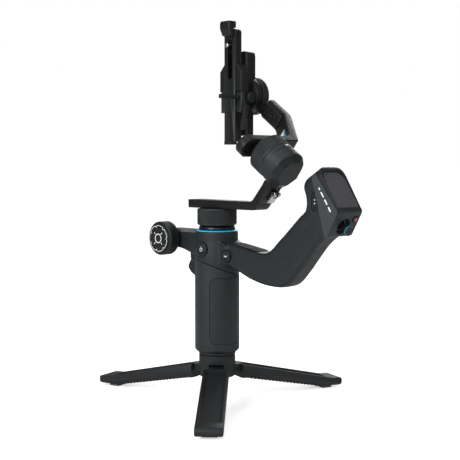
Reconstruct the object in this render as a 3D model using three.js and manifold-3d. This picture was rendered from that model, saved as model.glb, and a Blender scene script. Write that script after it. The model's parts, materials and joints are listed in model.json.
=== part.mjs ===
// Three-axis handheld camera gimbal with a sling handle and a folding mini tripod.
// Millimetres, +Z up, +Y forward, +X right. Pieces are placed from the grip's axis at the level of the feet,
// and the finished group's origin is under the middle of the whole object.
import * as THREE from "three";
import { mergeVertices } from "three/addons/utils/BufferGeometryUtils.js";
import Module from "manifold-3d";

const wasm = await Module();
wasm.setup();

// ---------------------------------------------------------------- driving dimensions
const GAP = 0.3; // clearance between neighbouring pieces
const BIG_ROUND = 32; // sides of a large turned piece
const SMALL_ROUND = 18; // sides of a small turned piece

const GRIP_RADIUS = 26;
const GRIP_BOTTOM = 56;
const GRIP_FLOOR = 64;
const GRIP_BORE = 20;
const SOCKET_BORE = 8.3;
const COVER_BOTTOM = 66;
const COVER_TOP = 143;
const COVER_HALF_ANGLE = 65; // degrees each side of the rear
const SEAM_HEIGHT = 154.5; // where the seam between grip and housing crosses the axis
const SEAM_SLOPE = 0.365; // the seam rises towards the front left

const HOUSING_TOP = 195;
const HOUSING_TOP_RADIUS = 24.5;
const ARM_HALF_WIDTH = 15;
const EXTENSION_HALF_WIDTH = 12;
const EXTENSION_FRONT = 76;
const EXTENSION_TOP = 193;
const TRIGGER_PIN = { y: 31, z: 161.5 };

const WHEEL_CENTRE_Y = 67;
const WHEEL_CENTRE_Z = 185;
const WHEEL_RADIUS = 20;
const WHEEL_FACE = -30.5;
const MODE_BUTTON = { y: 0, z: 175.6, radius: 8.5, face: -26.6 };
const MENU_BUTTON = { y: -30, z: 169, radius: 7, face: -17.2 };

const HEAD_HALF_WIDTH = 20;
const JOYSTICK_FACE = { y: -184, z: 209.4 }; // middle of the sloping control face
const CONTROL_NORMAL = new THREE.Vector3(0, -0.877, -0.48).normalize();
const DISPLAY_FACE = { y: -179, z: 247.4 }; // middle of the sloping display face
const DISPLAY_NORMAL = new THREE.Vector3(0, -0.845, 0.535).normalize();

const PAN_MOTOR_RADIUS = 23;
const PAN_MOTOR_BOTTOM = 203;
const BAR_BOTTOM = 222.3;
const BAR_TOP = 232;
const BAR_HALF_WIDTH = 11.5;
const BAR_FRONT = 37.6;
const BEND_Y = -64.5; // where the bar's top face turns into the riser
const RISER_SLOPE = THREE.MathUtils.degToRad(50);
const RISER_THICKNESS = 10;
const RISER_SPLIT = 26.7; // the fixed riser's length, up from the bend

const AXES_CENTRE = new THREE.Vector3(0, 16.9, 356); // the roll and tilt axes cross here
const ROLL_SLOPE = THREE.MathUtils.degToRad(36); // the roll axis rises towards the front
const ROLL_MOTOR_RADIUS = 22.8;
const ROLL_NECK_RADIUS = 17;
const ROLL_NECK_FRONT = -111.7; // along the roll axis, as the next four
const ROLL_FRONT = -116;
const ROLL_SEAM = -132.9;
const ROLL_CAP_FRONT = -139.5;
const ROLL_CAP_END = -152.9;

const ROLL_ARM_LEFT = -34.5;
const ROLL_ARM_HALF_HEIGHT = 12;
const ROLL_ARM_FRONT = -101.4;
const ROLL_ARM_REAR = -111.4;
const SIDE_ARM_INNER = 78;
const SIDE_ARM_OUTER = 88;
const SIDE_ARM_END = -25;
const SIDE_CHANNEL = 81; // floor of the channel in the side arm's inner face
const SIDE_KNOB = -46; // the knob's place along the side arm

const TILT_MOTOR_RADIUS = 22.8;
const TILT_MOTOR_INNER = 74.3;
const TILT_MOTOR_OUTER = 88;
const TILT_BAR_LEFT = 55.5;
const TILT_BAR_RIGHT = 68;
const TILT_DISC_RIGHT = 71.5;
const TILT_BAR_HALF_WIDTH = 12;
const TILT_BAR_LOW = -48.5; // from the tilt axis
const TILT_BAR_HIGH = 52.4;

const PLATE_LEFT = 38.5;
const PLATE_STEP = 44.5;
const PLATE_NECK = 46.5;
const PLATE_RIGHT = 50;
const PLATE_LOW = -56;
const PLATE_HIGH = 78;
const PLATE_HALF_WIDTH = 9;

const HUB_RADIUS = 21.3;
const HUB_BOTTOM = 25.8;
const HUB_TOP = 52;
const LEG_PIVOT_RADIUS = 17;
const LEG_PIVOT_HEIGHT = 34;
const LEG_ROOT = 27;
const LEG_TOP = 38;
const LEG_HALF_WIDTH = 15;
const LEG_ANGLES = { rear: -138, right: -18, left: 102 };
const FOOT_RADIUS = 149;
const FLOOR = -4.5;

// ---------------------------------------------------------------- materials
const finish = (color, roughness, metalness) =>
  new THREE.MeshStandardMaterial({ color, roughness, metalness });
const SHELL = finish("#2d3336", 0.55, 0.1);
const SHELL_DARK = finish("#1f2426", 0.6, 0.1);
const ARM = finish("#2a2b2c", 0.45, 0.6);
const MOTOR = finish("#3a3c3e", 0.4, 0.7);
const STEEL = finish("#c9c9c9", 0.25, 1.0);
const COPPER = finish("#a9673a", 0.4, 0.9);
const RUBBER = finish("#5b5d5e", 0.8, 0.0);
const BUTTON = finish("#33383a", 0.5, 0.1);
const LABEL = finish("#4d5052", 0.6, 0.1);
const SCREEN = finish("#45444a", 0.15, 0.0);
const ACCENT = finish("#2fa3c6", 0.4, 0.2);
const RED = finish("#b3283a", 0.4, 0.0);
const BOARD = finish("#1f5a38", 0.6, 0.0);
const CELL = finish("#2b4f7a", 0.5, 0.1);
const TRIPOD = finish("#262a2c", 0.6, 0.1);

// ---------------------------------------------------------------- solids
const X_AXIS = new THREE.Vector3(1, 0, 0);
const Y_AXIS = new THREE.Vector3(0, 1, 0);
const Z_AXIS = new THREE.Vector3(0, 0, 1);

// Merges a closed geometry's corners, drops its empty triangles and turns its faces outward.
function toSolid(geometry) {
  const bare = geometry.clone();
  bare.deleteAttribute("normal");
  bare.deleteAttribute("uv");
  const merged = mergeVertices(bare, 1e-4);
  const corners = merged.attributes.position;
  const cornerAt = (_, i) => new THREE.Vector3().fromBufferAttribute(corners, i);
  const points = Array.from({ length: corners.count }, cornerAt);
  const faces = [];
  let volume = 0;
  for (let i = 0; i < merged.index.count; i += 3) {
    const [a, b, c] = [0, 1, 2].map((k) => merged.index.getX(i + k));
    if (a === b || b === c || c === a) continue;
    faces.push([a, b, c]);
    volume += points[a].dot(points[b].clone().cross(points[c]));
  }
  const triVerts = new Uint32Array(faces.flatMap(([a, b, c]) => (volume > 0 ? [a, b, c] : [a, c, b])));
  const vertProperties = new Float32Array(corners.array);
  return new wasm.Manifold(new wasm.Mesh({ numProp: 3, vertProperties, triVerts }));
}

function toGeometry(solid) {
  const { vertProperties, triVerts } = solid.getMesh();
  const geometry = new THREE.BufferGeometry();
  geometry.setAttribute("position", new THREE.BufferAttribute(new Float32Array(vertProperties), 3));
  geometry.setIndex(new THREE.BufferAttribute(new Uint32Array(triVerts), 1));
  geometry.computeVertexNormals();
  return geometry;
}

const placed = (geometry, matrix) => toSolid(geometry.clone().applyMatrix4(matrix));
const join = (first, ...others) => others.reduce((whole, piece) => whole.add(piece), first);
const cut = (first, ...others) => others.reduce((whole, piece) => whole.subtract(piece), first);

// A frame at a point, with local +Z along the given direction and local +X along the given side.
function frameAt(x, y, z, direction, side = X_AXIS) {
  const matrix = new THREE.Matrix4().makeBasis(side, direction.clone().cross(side), direction);
  return matrix.setPosition(x, y, z);
}

function boxGeometry([x0, x1], [y0, y1], [z0, z1]) {
  const box = new THREE.BoxGeometry(x1 - x0, y1 - y0, z1 - z0);
  return box.translate((x0 + x1) / 2, (y0 + y1) / 2, (z0 + z1) / 2);
}
const boxSolid = (x, y, z) => toSolid(boxGeometry(x, y, z));

// A turned piece on the Z axis from [radius, height] pairs. A profile off the axis is closed on itself.
function turned(profile, sides = BIG_ROUND) {
  const points = profile.map(([radius, height]) => new THREE.Vector2(radius, height));
  const onAxis = profile[0][0] === 0 && profile[profile.length - 1][0] === 0;
  if (!onAxis) points.push(points[0].clone());
  return new THREE.LatheGeometry(points, sides).rotateX(Math.PI / 2);
}

const rod = (radius, low, high, sides = SMALL_ROUND) =>
  turned([[0, low], [radius, low], [radius, high], [0, high]], sides);
const ring = (inner, outer, low, high, sides = BIG_ROUND) =>
  turned([[inner, low], [outer, low], [outer, high], [inner, high]], sides);

// The same pieces turned on an axis that points right (+X) or forward (+Y).
const ALONG_X = frameAt(0, 0, 0, X_AXIS, Y_AXIS);
const ALONG_Y = frameAt(0, 0, 0, Y_AXIS, X_AXIS);
const alongX = (geometry, y = 0, z = 0) => geometry.applyMatrix4(ALONG_X).translate(0, y, z);
const alongY = (geometry, x = 0, z = 0) => geometry.applyMatrix4(ALONG_Y).translate(x, 0, z);

const outline = (points) => new THREE.Shape(points.map(([u, v]) => new THREE.Vector2(u, v)));

// An outline of [u, v, radius] corners, each rounded by its radius.
function roundedOutline(corners) {
  const shape = new THREE.Shape();
  corners.forEach(([u, v, radius = 0], i) => {
    const corner = new THREE.Vector2(u, v);
    const towards = ([otherU, otherV]) =>
      new THREE.Vector2(otherU, otherV).sub(corner).setLength(radius).add(corner);
    const start = towards(corners.at(i - 1));
    const end = towards(corners[(i + 1) % corners.length]);
    if (i === 0) shape.moveTo(start.x, start.y);
    else shape.lineTo(start.x, start.y);
    if (radius > 0) shape.quadraticCurveTo(u, v, end.x, end.y);
  });
  return shape;
}

function extruded(shape, low, high, bevel = 0, curveSegments = 8) {
  const options = {
    depth: high - low - 2 * bevel,
    bevelEnabled: bevel > 0,
    bevelThickness: bevel,
    bevelSize: bevel,
    bevelOffset: -bevel,
    bevelSegments: 1,
    curveSegments,
  };
  return new THREE.ExtrudeGeometry(shape, options).translate(0, 0, low + bevel);
}

// A side outline in (Y, Z), carried across from x = left to x = right.
const ACROSS = new THREE.Matrix4().makeBasis(Y_AXIS, Z_AXIS, X_AXIS);
const across = (shape, left, right, bevel = 0, curveSegments = 8) =>
  extruded(shape, left, right, bevel, curveSegments).applyMatrix4(ACROSS);

function slotShape(halfLength, radius) {
  const shape = new THREE.Shape();
  shape.absarc(halfLength - radius, 0, radius, -Math.PI / 2, Math.PI / 2, false);
  shape.absarc(radius - halfLength, 0, radius, Math.PI / 2, (3 * Math.PI) / 2, false);
  return shape;
}

// ---------------------------------------------------------------- the scene graph
const gimbal = new THREE.Group();

function addGroup(parent, x, y, z, turnX = 0, turnZ = 0) {
  const child = new THREE.Group();
  child.position.set(x, y, z);
  child.rotation.set(turnX, 0, turnZ);
  parent.add(child);
  return child;
}

function addPiece(parent, name, material, shape, matrix = null) {
  const solid = shape.isBufferGeometry ? toSolid(shape) : shape;
  const mesh = new THREE.Mesh(toGeometry(solid), material);
  mesh.name = name;
  if (matrix) mesh.applyMatrix4(matrix);
  parent.add(mesh);
  return mesh;
}

// ---------------------------------------------------------------- grip, with its battery
function sector(inner, outer, middle, halfAngle) {
  const from = THREE.MathUtils.degToRad(middle - halfAngle);
  const to = THREE.MathUtils.degToRad(middle + halfAngle);
  const shape = new THREE.Shape();
  shape.absarc(0, 0, outer, from, to, false);
  shape.absarc(0, 0, inner, to, from, true);
  return shape;
}

// The sloping seam between the grip and the housing: everything from low to high above it.
function slabAtSeam(low, high) {
  const normal = new THREE.Vector3(SEAM_SLOPE * Math.SQRT1_2, -SEAM_SLOPE * Math.SQRT1_2, 1).normalize();
  const level = new THREE.Vector3(Math.SQRT1_2, Math.SQRT1_2, 0);
  return placed(boxGeometry([-40, 40], [-40, 40], [low, high]), frameAt(0, 0, SEAM_HEIGHT, normal, level));
}

function buildGrip() {
  const rearAngle = -90;
  const uncut = SEAM_HEIGHT + 20;
  const shell = turned([
    [SOCKET_BORE, GRIP_BOTTOM], [24.5, GRIP_BOTTOM], [GRIP_RADIUS, 58.5], [GRIP_RADIUS, uncut],
    [GRIP_BORE, uncut], [GRIP_BORE, GRIP_FLOOR], [SOCKET_BORE, GRIP_FLOOR],
  ]);
  const windowShape = sector(15, 30, rearAngle, COVER_HALF_ANGLE);
  const window = toSolid(extruded(windowShape, COVER_BOTTOM, COVER_TOP, 0, 16));
  addPiece(gimbal, "grip_shell", SHELL, cut(toSolid(shell), window, slabAtSeam(0, 60)));

  const sideClearance = 0.8; // degrees
  const coverShape = sector(GRIP_BORE, GRIP_RADIUS, rearAngle, COVER_HALF_ANGLE - sideClearance);
  const cover = extruded(coverShape, COVER_BOTTOM + GAP, COVER_TOP - GAP, 0, 16);
  addPiece(gimbal, "battery_cover", SHELL, cover);
  addPiece(gimbal, "battery_pack", CELL, rod(18, GRIP_FLOOR + GAP, 146, 24));
  const socket = ring(3.5, SOCKET_BORE - GAP, GRIP_BOTTOM + GAP, GRIP_FLOOR - GAP, SMALL_ROUND);
  addPiece(gimbal, "tripod_socket", STEEL, socket);
}

// ---------------------------------------------------------------- one-piece sling body
function slingArmShape() {
  const shape = new THREE.Shape();
  shape.moveTo(10, 189);
  shape.lineTo(-26, 183);
  shape.lineTo(-76, 175);
  shape.quadraticCurveTo(-88, 173, -97, 182); // inner bend
  shape.lineTo(-142, 225);
  shape.lineTo(-175.6, 196.2);
  shape.quadraticCurveTo(-161, 181.5, -149.5, 170.5); // heel under the head
  shape.lineTo(-130, 153.5);
  shape.quadraticCurveTo(-114, 138.5, -94, 139);
  shape.quadraticCurveTo(-72, 140, -50, 149.5); // outer bend
  shape.quadraticCurveTo(-30, 158.5, 10, 161.5);
  return shape;
}

const COVER_SLOT = frameAt(0, -118.5, 201.6, new THREE.Vector3(0, 0.691, 0.723).normalize());

function buildSlingBody() {
  const housing = turned([
    [0, SEAM_HEIGHT - 20], [GRIP_RADIUS, SEAM_HEIGHT - 20], [GRIP_RADIUS, 166],
    [HOUSING_TOP_RADIUS, 186], [HOUSING_TOP_RADIUS, HOUSING_TOP], [0, HOUSING_TOP],
  ]);
  const arm = across(slingArmShape(), -ARM_HALF_WIDTH, ARM_HALF_WIDTH, 4);
  const extensionShape = outline([
    [0, EXTENSION_TOP], [EXTENSION_FRONT, EXTENSION_TOP], [EXTENSION_FRONT, 176], [46, 173.5], [22, 167],
    [0, 167],
  ]);
  const extension = across(extensionShape, -EXTENSION_HALF_WIDTH, EXTENSION_HALF_WIDTH, 2);
  const ears = [-1, 1].map((side) => {
    const span = [side * 6.5, side * 9.5].sort((a, b) => a - b);
    return across(outline([[26.5, 172], [36, 172], [36, 158], [28, 158], [26.5, 160]]), ...span);
  });
  const round = cut(toSolid(housing), slabAtSeam(-60, GAP));
  const solid = join(round, toSolid(arm), toSolid(extension), ...ears.map(toSolid));

  const boardPocket = toSolid(rod(17, 174, HOUSING_TOP + 5, BIG_ROUND));
  const pocket = ({ y, z, radius, face }, depth) =>
    toSolid(alongX(rod(radius + GAP, face - 5, face + depth, 24), y, z));
  const axleHole = toSolid(alongX(rod(3.3, -15, 4, 16), WHEEL_CENTRE_Y, WHEEL_CENTRE_Z));
  const pinHole = toSolid(alongX(rod(1.8, -12, 12, 12), TRIGGER_PIN.y, TRIGGER_PIN.z));
  const padRecess = boxSolid([-10.3, 10.3], [25.6, 73.3], [191.5, 200]);
  const coverSlot = placed(boxGeometry([-11.3, 11.3], [-28, 28], [-2, 10]), COVER_SLOT);
  const pockets = [boardPocket, pocket(MODE_BUTTON, 6.4), pocket(MENU_BUTTON, 6.8), axleHole, pinHole];
  addPiece(gimbal, "sling_body", SHELL, cut(solid, ...pockets, padRecess, coverSlot));

  const inlay = boxGeometry([-11, 11], [-27.7, 27.7], [-1.7, 0.6]);
  addPiece(gimbal, "sling_cover", SHELL_DARK, inlay, COVER_SLOT);
  addPiece(gimbal, "accessory_pad", RUBBER, ridgedPad());
  addPiece(gimbal, "main_board", BOARD, ring(7, 16.4, 176, 177.6, 24));
  const pin = alongX(rod(1.5, -9.5, 9.5, 12), TRIGGER_PIN.y, TRIGGER_PIN.z);
  addPiece(gimbal, "trigger_pin", STEEL, pin);
}

// The pad's ridges run across the extension.
function ridgedPad() {
  const [rear, front, low, high] = [26, 73, 191.8, 196];
  const ridges = 8;
  const pitch = (front - rear) / ridges;
  const valley = high - 1;
  const points = [[rear, low], [front, low]];
  for (let i = ridges; i > 0; i -= 1) {
    const edge = rear + i * pitch;
    points.push([edge - 0.2, high], [edge - 0.65 * pitch, high]);
    points.push([edge - 0.75 * pitch, valley], [edge - pitch + 0.2, valley]);
  }
  return across(outline(points), -10, 10);
}

// ---------------------------------------------------------------- controls on the housing
function buildHousingControls() {
  const wheel = turned([
    [0, WHEEL_FACE], [18.5, WHEEL_FACE], [WHEEL_RADIUS, WHEEL_FACE + 1.5], [WHEEL_RADIUS, -14],
    [18.5, -EXTENSION_HALF_WIDTH - GAP], [3, -EXTENSION_HALF_WIDTH - GAP], [3, 3], [0, 3],
  ]);
  addPiece(gimbal, "control_wheel", SHELL_DARK, alongX(wheel, WHEEL_CENTRE_Y, WHEEL_CENTRE_Z));
  const cap = rod(17.6, WHEEL_FACE - GAP - 1.4, WHEEL_FACE - GAP, BIG_ROUND);
  addPiece(gimbal, "wheel_cap", SHELL, alongX(cap, WHEEL_CENTRE_Y, WHEEL_CENTRE_Z));

  const disc = ({ y, z, radius, face }, thickness) => alongX(rod(radius, face, face + thickness, 24), y, z);
  addPiece(gimbal, "mode_button", BUTTON, disc(MODE_BUTTON, 4.6));
  addPiece(gimbal, "menu_button", BUTTON, disc(MENU_BUTTON, 5));

  const triggerShape = outline([
    [28.5, 165], [36, 165], [43, 154], [43.5, 150], [39, 145], [33, 141.5], [30, 141], [30, 154],
  ]);
  const bore = alongX(rod(1.8, -10, 10, 12), TRIGGER_PIN.y, TRIGGER_PIN.z);
  addPiece(gimbal, "trigger", SHELL_DARK, cut(toSolid(across(triggerShape, -6, 6, 1)), toSolid(bore)));
}

// ---------------------------------------------------------------- control head on top of the sling
const CONTROL_FRAME = frameAt(0, JOYSTICK_FACE.y, JOYSTICK_FACE.z, CONTROL_NORMAL);
const DISPLAY_FRAME = frameAt(0, DISPLAY_FACE.y, DISPLAY_FACE.z, DISPLAY_NORMAL);
const ROCKER_CENTRE = { y: -162, z: 235 };
const SIDE_BUTTONS = { record_button: [14.4, 8.5], photo_button: [14.8, -8.5] }; // on the control face

function headShape() {
  const shape = new THREE.Shape();
  shape.moveTo(-142.3, 225.4);
  shape.lineTo(-144.3, 229);
  shape.quadraticCurveTo(-145.3, 231.5, -145.3, 235);
  shape.lineTo(-145.3, 252);
  shape.quadraticCurveTo(-145.3, 257.5, -149.5, 261);
  shape.lineTo(-155.5, 266);
  shape.quadraticCurveTo(-161.5, 272, -166.3, 267);
  shape.lineTo(-191, 228.3);
  shape.quadraticCurveTo(-193, 225, -191, 222.2);
  shape.lineTo(-176.3, 196.6);
  return shape;
}

function buildHead() {
  // Seen square to the display, the head's top corners are round.
  const half = HEAD_HALF_WIDTH;
  const face = roundedOutline([[-half, -60], [half, -60], [half, 28, 16], [-half, 28, 16]]);
  const front = placed(extruded(face, -60, 30), DISPLAY_FRAME);
  const shell = toSolid(across(headShape(), -half, half, 3)).intersect(front);
  const bowl = placed(rod(10, -8, 5, 24), CONTROL_FRAME);
  const buttonHoles = Object.values(SIDE_BUTTONS).map(([x, y]) =>
    placed(rod(4, -4, 5, 16).translate(x, y, 0), CONTROL_FRAME));
  const leftward = X_AXIS.clone().negate();
  const rockerFrame = frameAt(-half, ROCKER_CENTRE.y, ROCKER_CENTRE.z, leftward, Z_AXIS);
  const rockerPocket = placed(extruded(slotShape(10.3, 4.5), -4.5, 5), rockerFrame);
  const displayPocket = placed(boxGeometry([-13.3, 13.3], [-14.3, 14.3], [-1.8, 5]), DISPLAY_FRAME);
  addPiece(gimbal, "head_shell", SHELL, cut(shell, bowl, ...buttonHoles, rockerPocket, displayPocket));
  addPiece(gimbal, "head_rocker", BUTTON, extruded(slotShape(9.6, 3.8), -3.2, 0, 0.4), rockerFrame);
  addPiece(gimbal, "head_display", SCREEN, boxGeometry([-13, 13], [-14, 14], [-1.5, 0.2]), DISPLAY_FRAME);

  for (const [name, [x, y]] of Object.entries(SIDE_BUTTONS)) {
    const material = name === "record_button" ? RED : STEEL;
    addPiece(gimbal, name, material, rod(3.6, -2.4, 1.4, 16).translate(x, y, 0), CONTROL_FRAME);
  }
  addPiece(gimbal, "joystick_ring", SHELL_DARK, ring(5, 7, -6, -3, 20), CONTROL_FRAME);
  const knob = turned([[0, -6], [2.2, -6], [2.2, 3], [5, 4], [5, 7.5], [4, 8.5], [0, 8.2]], 20);
  addPiece(gimbal, "joystick_knob", SHELL_DARK, knob, CONTROL_FRAME);

  const label = outline([
    [-162, 256.5], [-167.5, 260.5], [-190.3, 226], [-189.8, 221], [-178, 199.8], [-174.5, 199.8],
    [-168.5, 232],
  ]);
  const [near, far] = [half + GAP, half + GAP + 1.2];
  addPiece(gimbal, "head_label_left", LABEL, across(label, -far, -near));
  addPiece(gimbal, "head_label_right", LABEL, across(label, near, far));
}

// ---------------------------------------------------------------- pan motor and its bracket
function buildPan() {
  addPiece(gimbal, "accent_ring", ACCENT, ring(18, HOUSING_TOP_RADIUS - 0.2, HOUSING_TOP + GAP, 197));
  addPiece(gimbal, "neck_ring", STEEL, ring(12, 21.1, 197.3, 202.7));
  const stator = [[0, 179], [6, 179], [6, 204], [17, 204], [17, 215], [6, 215], [6, 217], [0, 217]];
  addPiece(gimbal, "pan_stator", COPPER, turned(stator));
  const top = BAR_BOTTOM - GAP;
  const bottom = PAN_MOTOR_BOTTOM;
  const radius = PAN_MOTOR_RADIUS;
  addPiece(gimbal, "pan_rotor", MOTOR, turned([
    [0, top], [radius - 1, top], [radius, top - 1], [radius, bottom + 1], [radius - 1, bottom], [18, bottom],
    [18, 217.4], [0, 217.4],
  ]));

  // The bar's top face runs back to the bend, and from there the riser climbs.
  const climb = new THREE.Vector2(-Math.cos(RISER_SLOPE), Math.sin(RISER_SLOPE));
  const inward = new THREE.Vector2(climb.y, -climb.x).multiplyScalar(-RISER_THICKNESS);
  const bend = new THREE.Vector2(BEND_Y, BAR_TOP);
  const riserFront = bend.clone().addScaledVector(climb, RISER_SPLIT);
  const riserRear = riserFront.clone().add(inward);
  const foot = riserRear.clone().addScaledVector(climb, (BAR_BOTTOM - riserRear.y) / climb.y);
  const side = roundedOutline([
    [BAR_FRONT, BAR_BOTTOM], [BAR_FRONT, BAR_TOP], [bend.x, bend.y, 3], riserFront.toArray(),
    riserRear.toArray(), [foot.x, foot.y, 4],
  ]);
  const plan = roundedOutline([
    [-BAR_HALF_WIDTH, -110], [BAR_HALF_WIDTH, -110], [BAR_HALF_WIDTH, BAR_FRONT, 2.5],
    [-BAR_HALF_WIDTH, BAR_FRONT, 2.5],
  ]);
  const bracket = toSolid(across(side, -BAR_HALF_WIDTH, BAR_HALF_WIDTH, 1));
  const pocket = placed(boxGeometry([-7.7, 7.7], [4.7, 40], [3.8, 20]), RISER_FRAME);
  addPiece(gimbal, "pan_bracket", ARM, cut(bracket.intersect(toSolid(extruded(plan, 200, 300))), pocket));
}

// The riser's own frame: local +Y climbs the riser, local +Z points out of its rear face.
const RISER_OUT = new THREE.Vector3(0, -Math.sin(RISER_SLOPE), -Math.cos(RISER_SLOPE));
const RISER_FRAME = frameAt(0, BEND_Y, BAR_TOP, RISER_OUT);
const LEVER_AXIS = { climb: 22, out: 13.8 };

// ---------------------------------------------------------------- roll motor on its sliding carriage
const rollGroup = addGroup(gimbal, ...AXES_CENTRE, ROLL_SLOPE);
const ROLL_MATRIX = new THREE.Matrix4().makeRotationX(ROLL_SLOPE).setPosition(AXES_CENTRE);

// A tongue slides in the riser's rear pocket, and its head cradles the motor.
function buildRollCarriage() {
  const radius = ROLL_MOTOR_RADIUS;
  const tongue = boxSolid([-7.4, 7.4], [5, 30], [4.1, RISER_THICKNESS]);
  const head = boxSolid([-BAR_HALF_WIDTH, BAR_HALF_WIDTH], [RISER_SPLIT + GAP, 37], [0, RISER_THICKNESS]);
  const lug = boxSolid([0.5, 3.5], [18.5, 25.5], [RISER_THICKNESS - 1, 16.8]);
  const leverBore = toSolid(alongX(rod(1.8, -20, 20, 12), LEVER_AXIS.climb, LEVER_AXIS.out));
  const slider = cut(join(tongue, head, lug), leverBore).transform(RISER_FRAME.elements);
  const capSpace = placed(alongY(rod(radius + GAP, -200, ROLL_CAP_FRONT + 3, BIG_ROUND)), ROLL_MATRIX);
  const aboveMotor = placed(boxGeometry([-30, 30], [-220, -80], [-5, 60]), ROLL_MATRIX);
  addPiece(gimbal, "riser_slider", ARM, cut(slider, capSpace, aboveMotor));

  addPiece(rollGroup, "roll_motor_cap", MOTOR, alongY(turned([
    [0, ROLL_CAP_FRONT], [radius, ROLL_CAP_FRONT], [radius, ROLL_CAP_END], [14, ROLL_CAP_END - 6],
    [0, ROLL_CAP_END - 6],
  ])));
  const trim = ring(17.5, radius - 0.3, ROLL_CAP_FRONT + GAP, ROLL_SEAM - GAP);
  addPiece(rollGroup, "roll_trim_ring", STEEL, alongY(trim));
  const stator = rod(16.8, ROLL_CAP_FRONT + GAP, ROLL_FRONT - 5, BIG_ROUND);
  addPiece(rollGroup, "roll_stator", COPPER, alongY(stator));

  // The lever's two cheeks straddle the slider's lug.
  const { climb, out } = LEVER_AXIS;
  const cheeks = [[-3, 0.5 - GAP], [3.5 + GAP, 7]].flatMap((span) => [
    alongX(rod(3.2, ...span, 16), climb, out),
    boxGeometry(span, [climb - 8, climb], [out - 2.8, out + 0.7]),
  ]);
  const pin = alongX(rod(1.5, -3, 7, 12), climb, out);
  const blade = boxGeometry([-3, 7], [climb - 12, climb - 4.7], [out - 2.8, out + 0.7]);
  addPiece(gimbal, "riser_lever", STEEL, join(...[...cheeks, pin, blade].map(toSolid)), RISER_FRAME);
}

// ---------------------------------------------------------------- roll arm
function buildRollArm() {
  const radius = ROLL_MOTOR_RADIUS;
  const drum = turned([
    [0, ROLL_NECK_FRONT], [ROLL_NECK_RADIUS, ROLL_NECK_FRONT], [ROLL_NECK_RADIUS, ROLL_FRONT],
    [radius - 1, ROLL_FRONT], [radius, ROLL_FRONT - 1], [radius, ROLL_SEAM], [17.3, ROLL_SEAM],
    [17.3, ROLL_FRONT - 4.4], [0, ROLL_FRONT - 4.4],
  ]);
  addPiece(rollGroup, "roll_rotor", MOTOR, alongY(drum));

  // From above, the bar bends forward in a diagonal to the side arm. From behind, its left end is round.
  const diagonal = { outer: [52, -58.9], inner: [44, -54.9] };
  const plan = roundedOutline([
    [ROLL_ARM_LEFT, ROLL_ARM_REAR], [diagonal.outer[0], ROLL_ARM_REAR, 4],
    [SIDE_ARM_OUTER, diagonal.outer[1], 6], [SIDE_ARM_OUTER, SIDE_ARM_END, 2],
    [SIDE_ARM_INNER, SIDE_ARM_END, 2], [SIDE_ARM_INNER, diagonal.inner[1], 6],
    [diagonal.inner[0], ROLL_ARM_FRONT, 4], [ROLL_ARM_LEFT, ROLL_ARM_FRONT],
  ]);
  const height = ROLL_ARM_HALF_HEIGHT;
  const endCentre = ROLL_ARM_LEFT + height;
  const rearView = new THREE.Shape();
  rearView.moveTo(100, -height);
  rearView.lineTo(100, height);
  rearView.absarc(endCentre, 0, height, Math.PI / 2, (3 * Math.PI) / 2, false);
  const backward = frameAt(0, ROLL_ARM_REAR, 0, Y_AXIS.clone().negate(), X_AXIS);
  const silhouette = placed(extruded(rearView, -100, 10), backward);
  const bar = toSolid(extruded(plan, -height, height, 1.2, 4)).intersect(silhouette);
  const endRecess = toSolid(alongY(rod(7.5, ROLL_ARM_REAR - 5, ROLL_ARM_REAR + 2, 24), endCentre));
  const channel = boxSolid([70, SIDE_CHANNEL], [-57.3, -20], [-9, 9]);
  const travel = frameAt(0, SIDE_KNOB + 7, 0, X_AXIS, Y_AXIS);
  const knobSlot = placed(extruded(slotShape(9.4, 2.4), 0, 99), travel);
  addPiece(rollGroup, "roll_bracket", ARM, cut(bar, endRecess, channel, knobSlot));

  const inside = new THREE.Vector3(diagonal.inner[1] - ROLL_ARM_FRONT, diagonal.inner[0] - SIDE_ARM_INNER, 0);
  const inward = new THREE.Vector3(-inside.x, -inside.y, 0).normalize();
  const accentFrame = frameAt(49, -94.6, 0, inward, Z_AXIS);
  addPiece(rollGroup, "bracket_accent", ACCENT, boxGeometry([-6, 6], [-3, 3], [GAP, 1.5]), accentFrame);
}

// ---------------------------------------------------------------- tilt motor on its sliding carriage
function buildTiltCarriage() {
  const radius = TILT_MOTOR_RADIUS;
  const slabShape = outline([[-57, -8.7], [-57, 8.7], [-15, 8.7], [-15, -8.7]]);
  const slab = toSolid(across(slabShape, SIDE_ARM_INNER - 3, SIDE_CHANNEL - GAP, 0.6));
  const motorSpace = toSolid(alongX(rod(radius + GAP, 0, 100, BIG_ROUND)));
  const knobHole = toSolid(alongX(rod(2.3, 0, 99, 12), SIDE_KNOB));
  addPiece(rollGroup, "tilt_slider", ARM, cut(slab, motorSpace, knobHole));
  addPiece(rollGroup, "tilt_motor", MOTOR, alongX(turned([
    [0, TILT_MOTOR_INNER], [radius, TILT_MOTOR_INNER], [radius, TILT_MOTOR_OUTER - 4.5],
    [radius - 6, TILT_MOTOR_OUTER], [0, TILT_MOTOR_OUTER],
  ])));

  const foot = SIDE_ARM_OUTER + GAP;
  const knob = turned([
    [0, 75.6], [2, 75.6], [2, foot], [7, foot], [7, foot + 6], [6, foot + 7], [0, foot + 7],
  ], SMALL_ROUND);
  addPiece(rollGroup, "side_arm_knob", SHELL_DARK, alongX(knob, SIDE_KNOB));
}

// ---------------------------------------------------------------- tilt bar and quick-release clamp
const tiltGroup = addGroup(gimbal, ...AXES_CENTRE);

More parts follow.
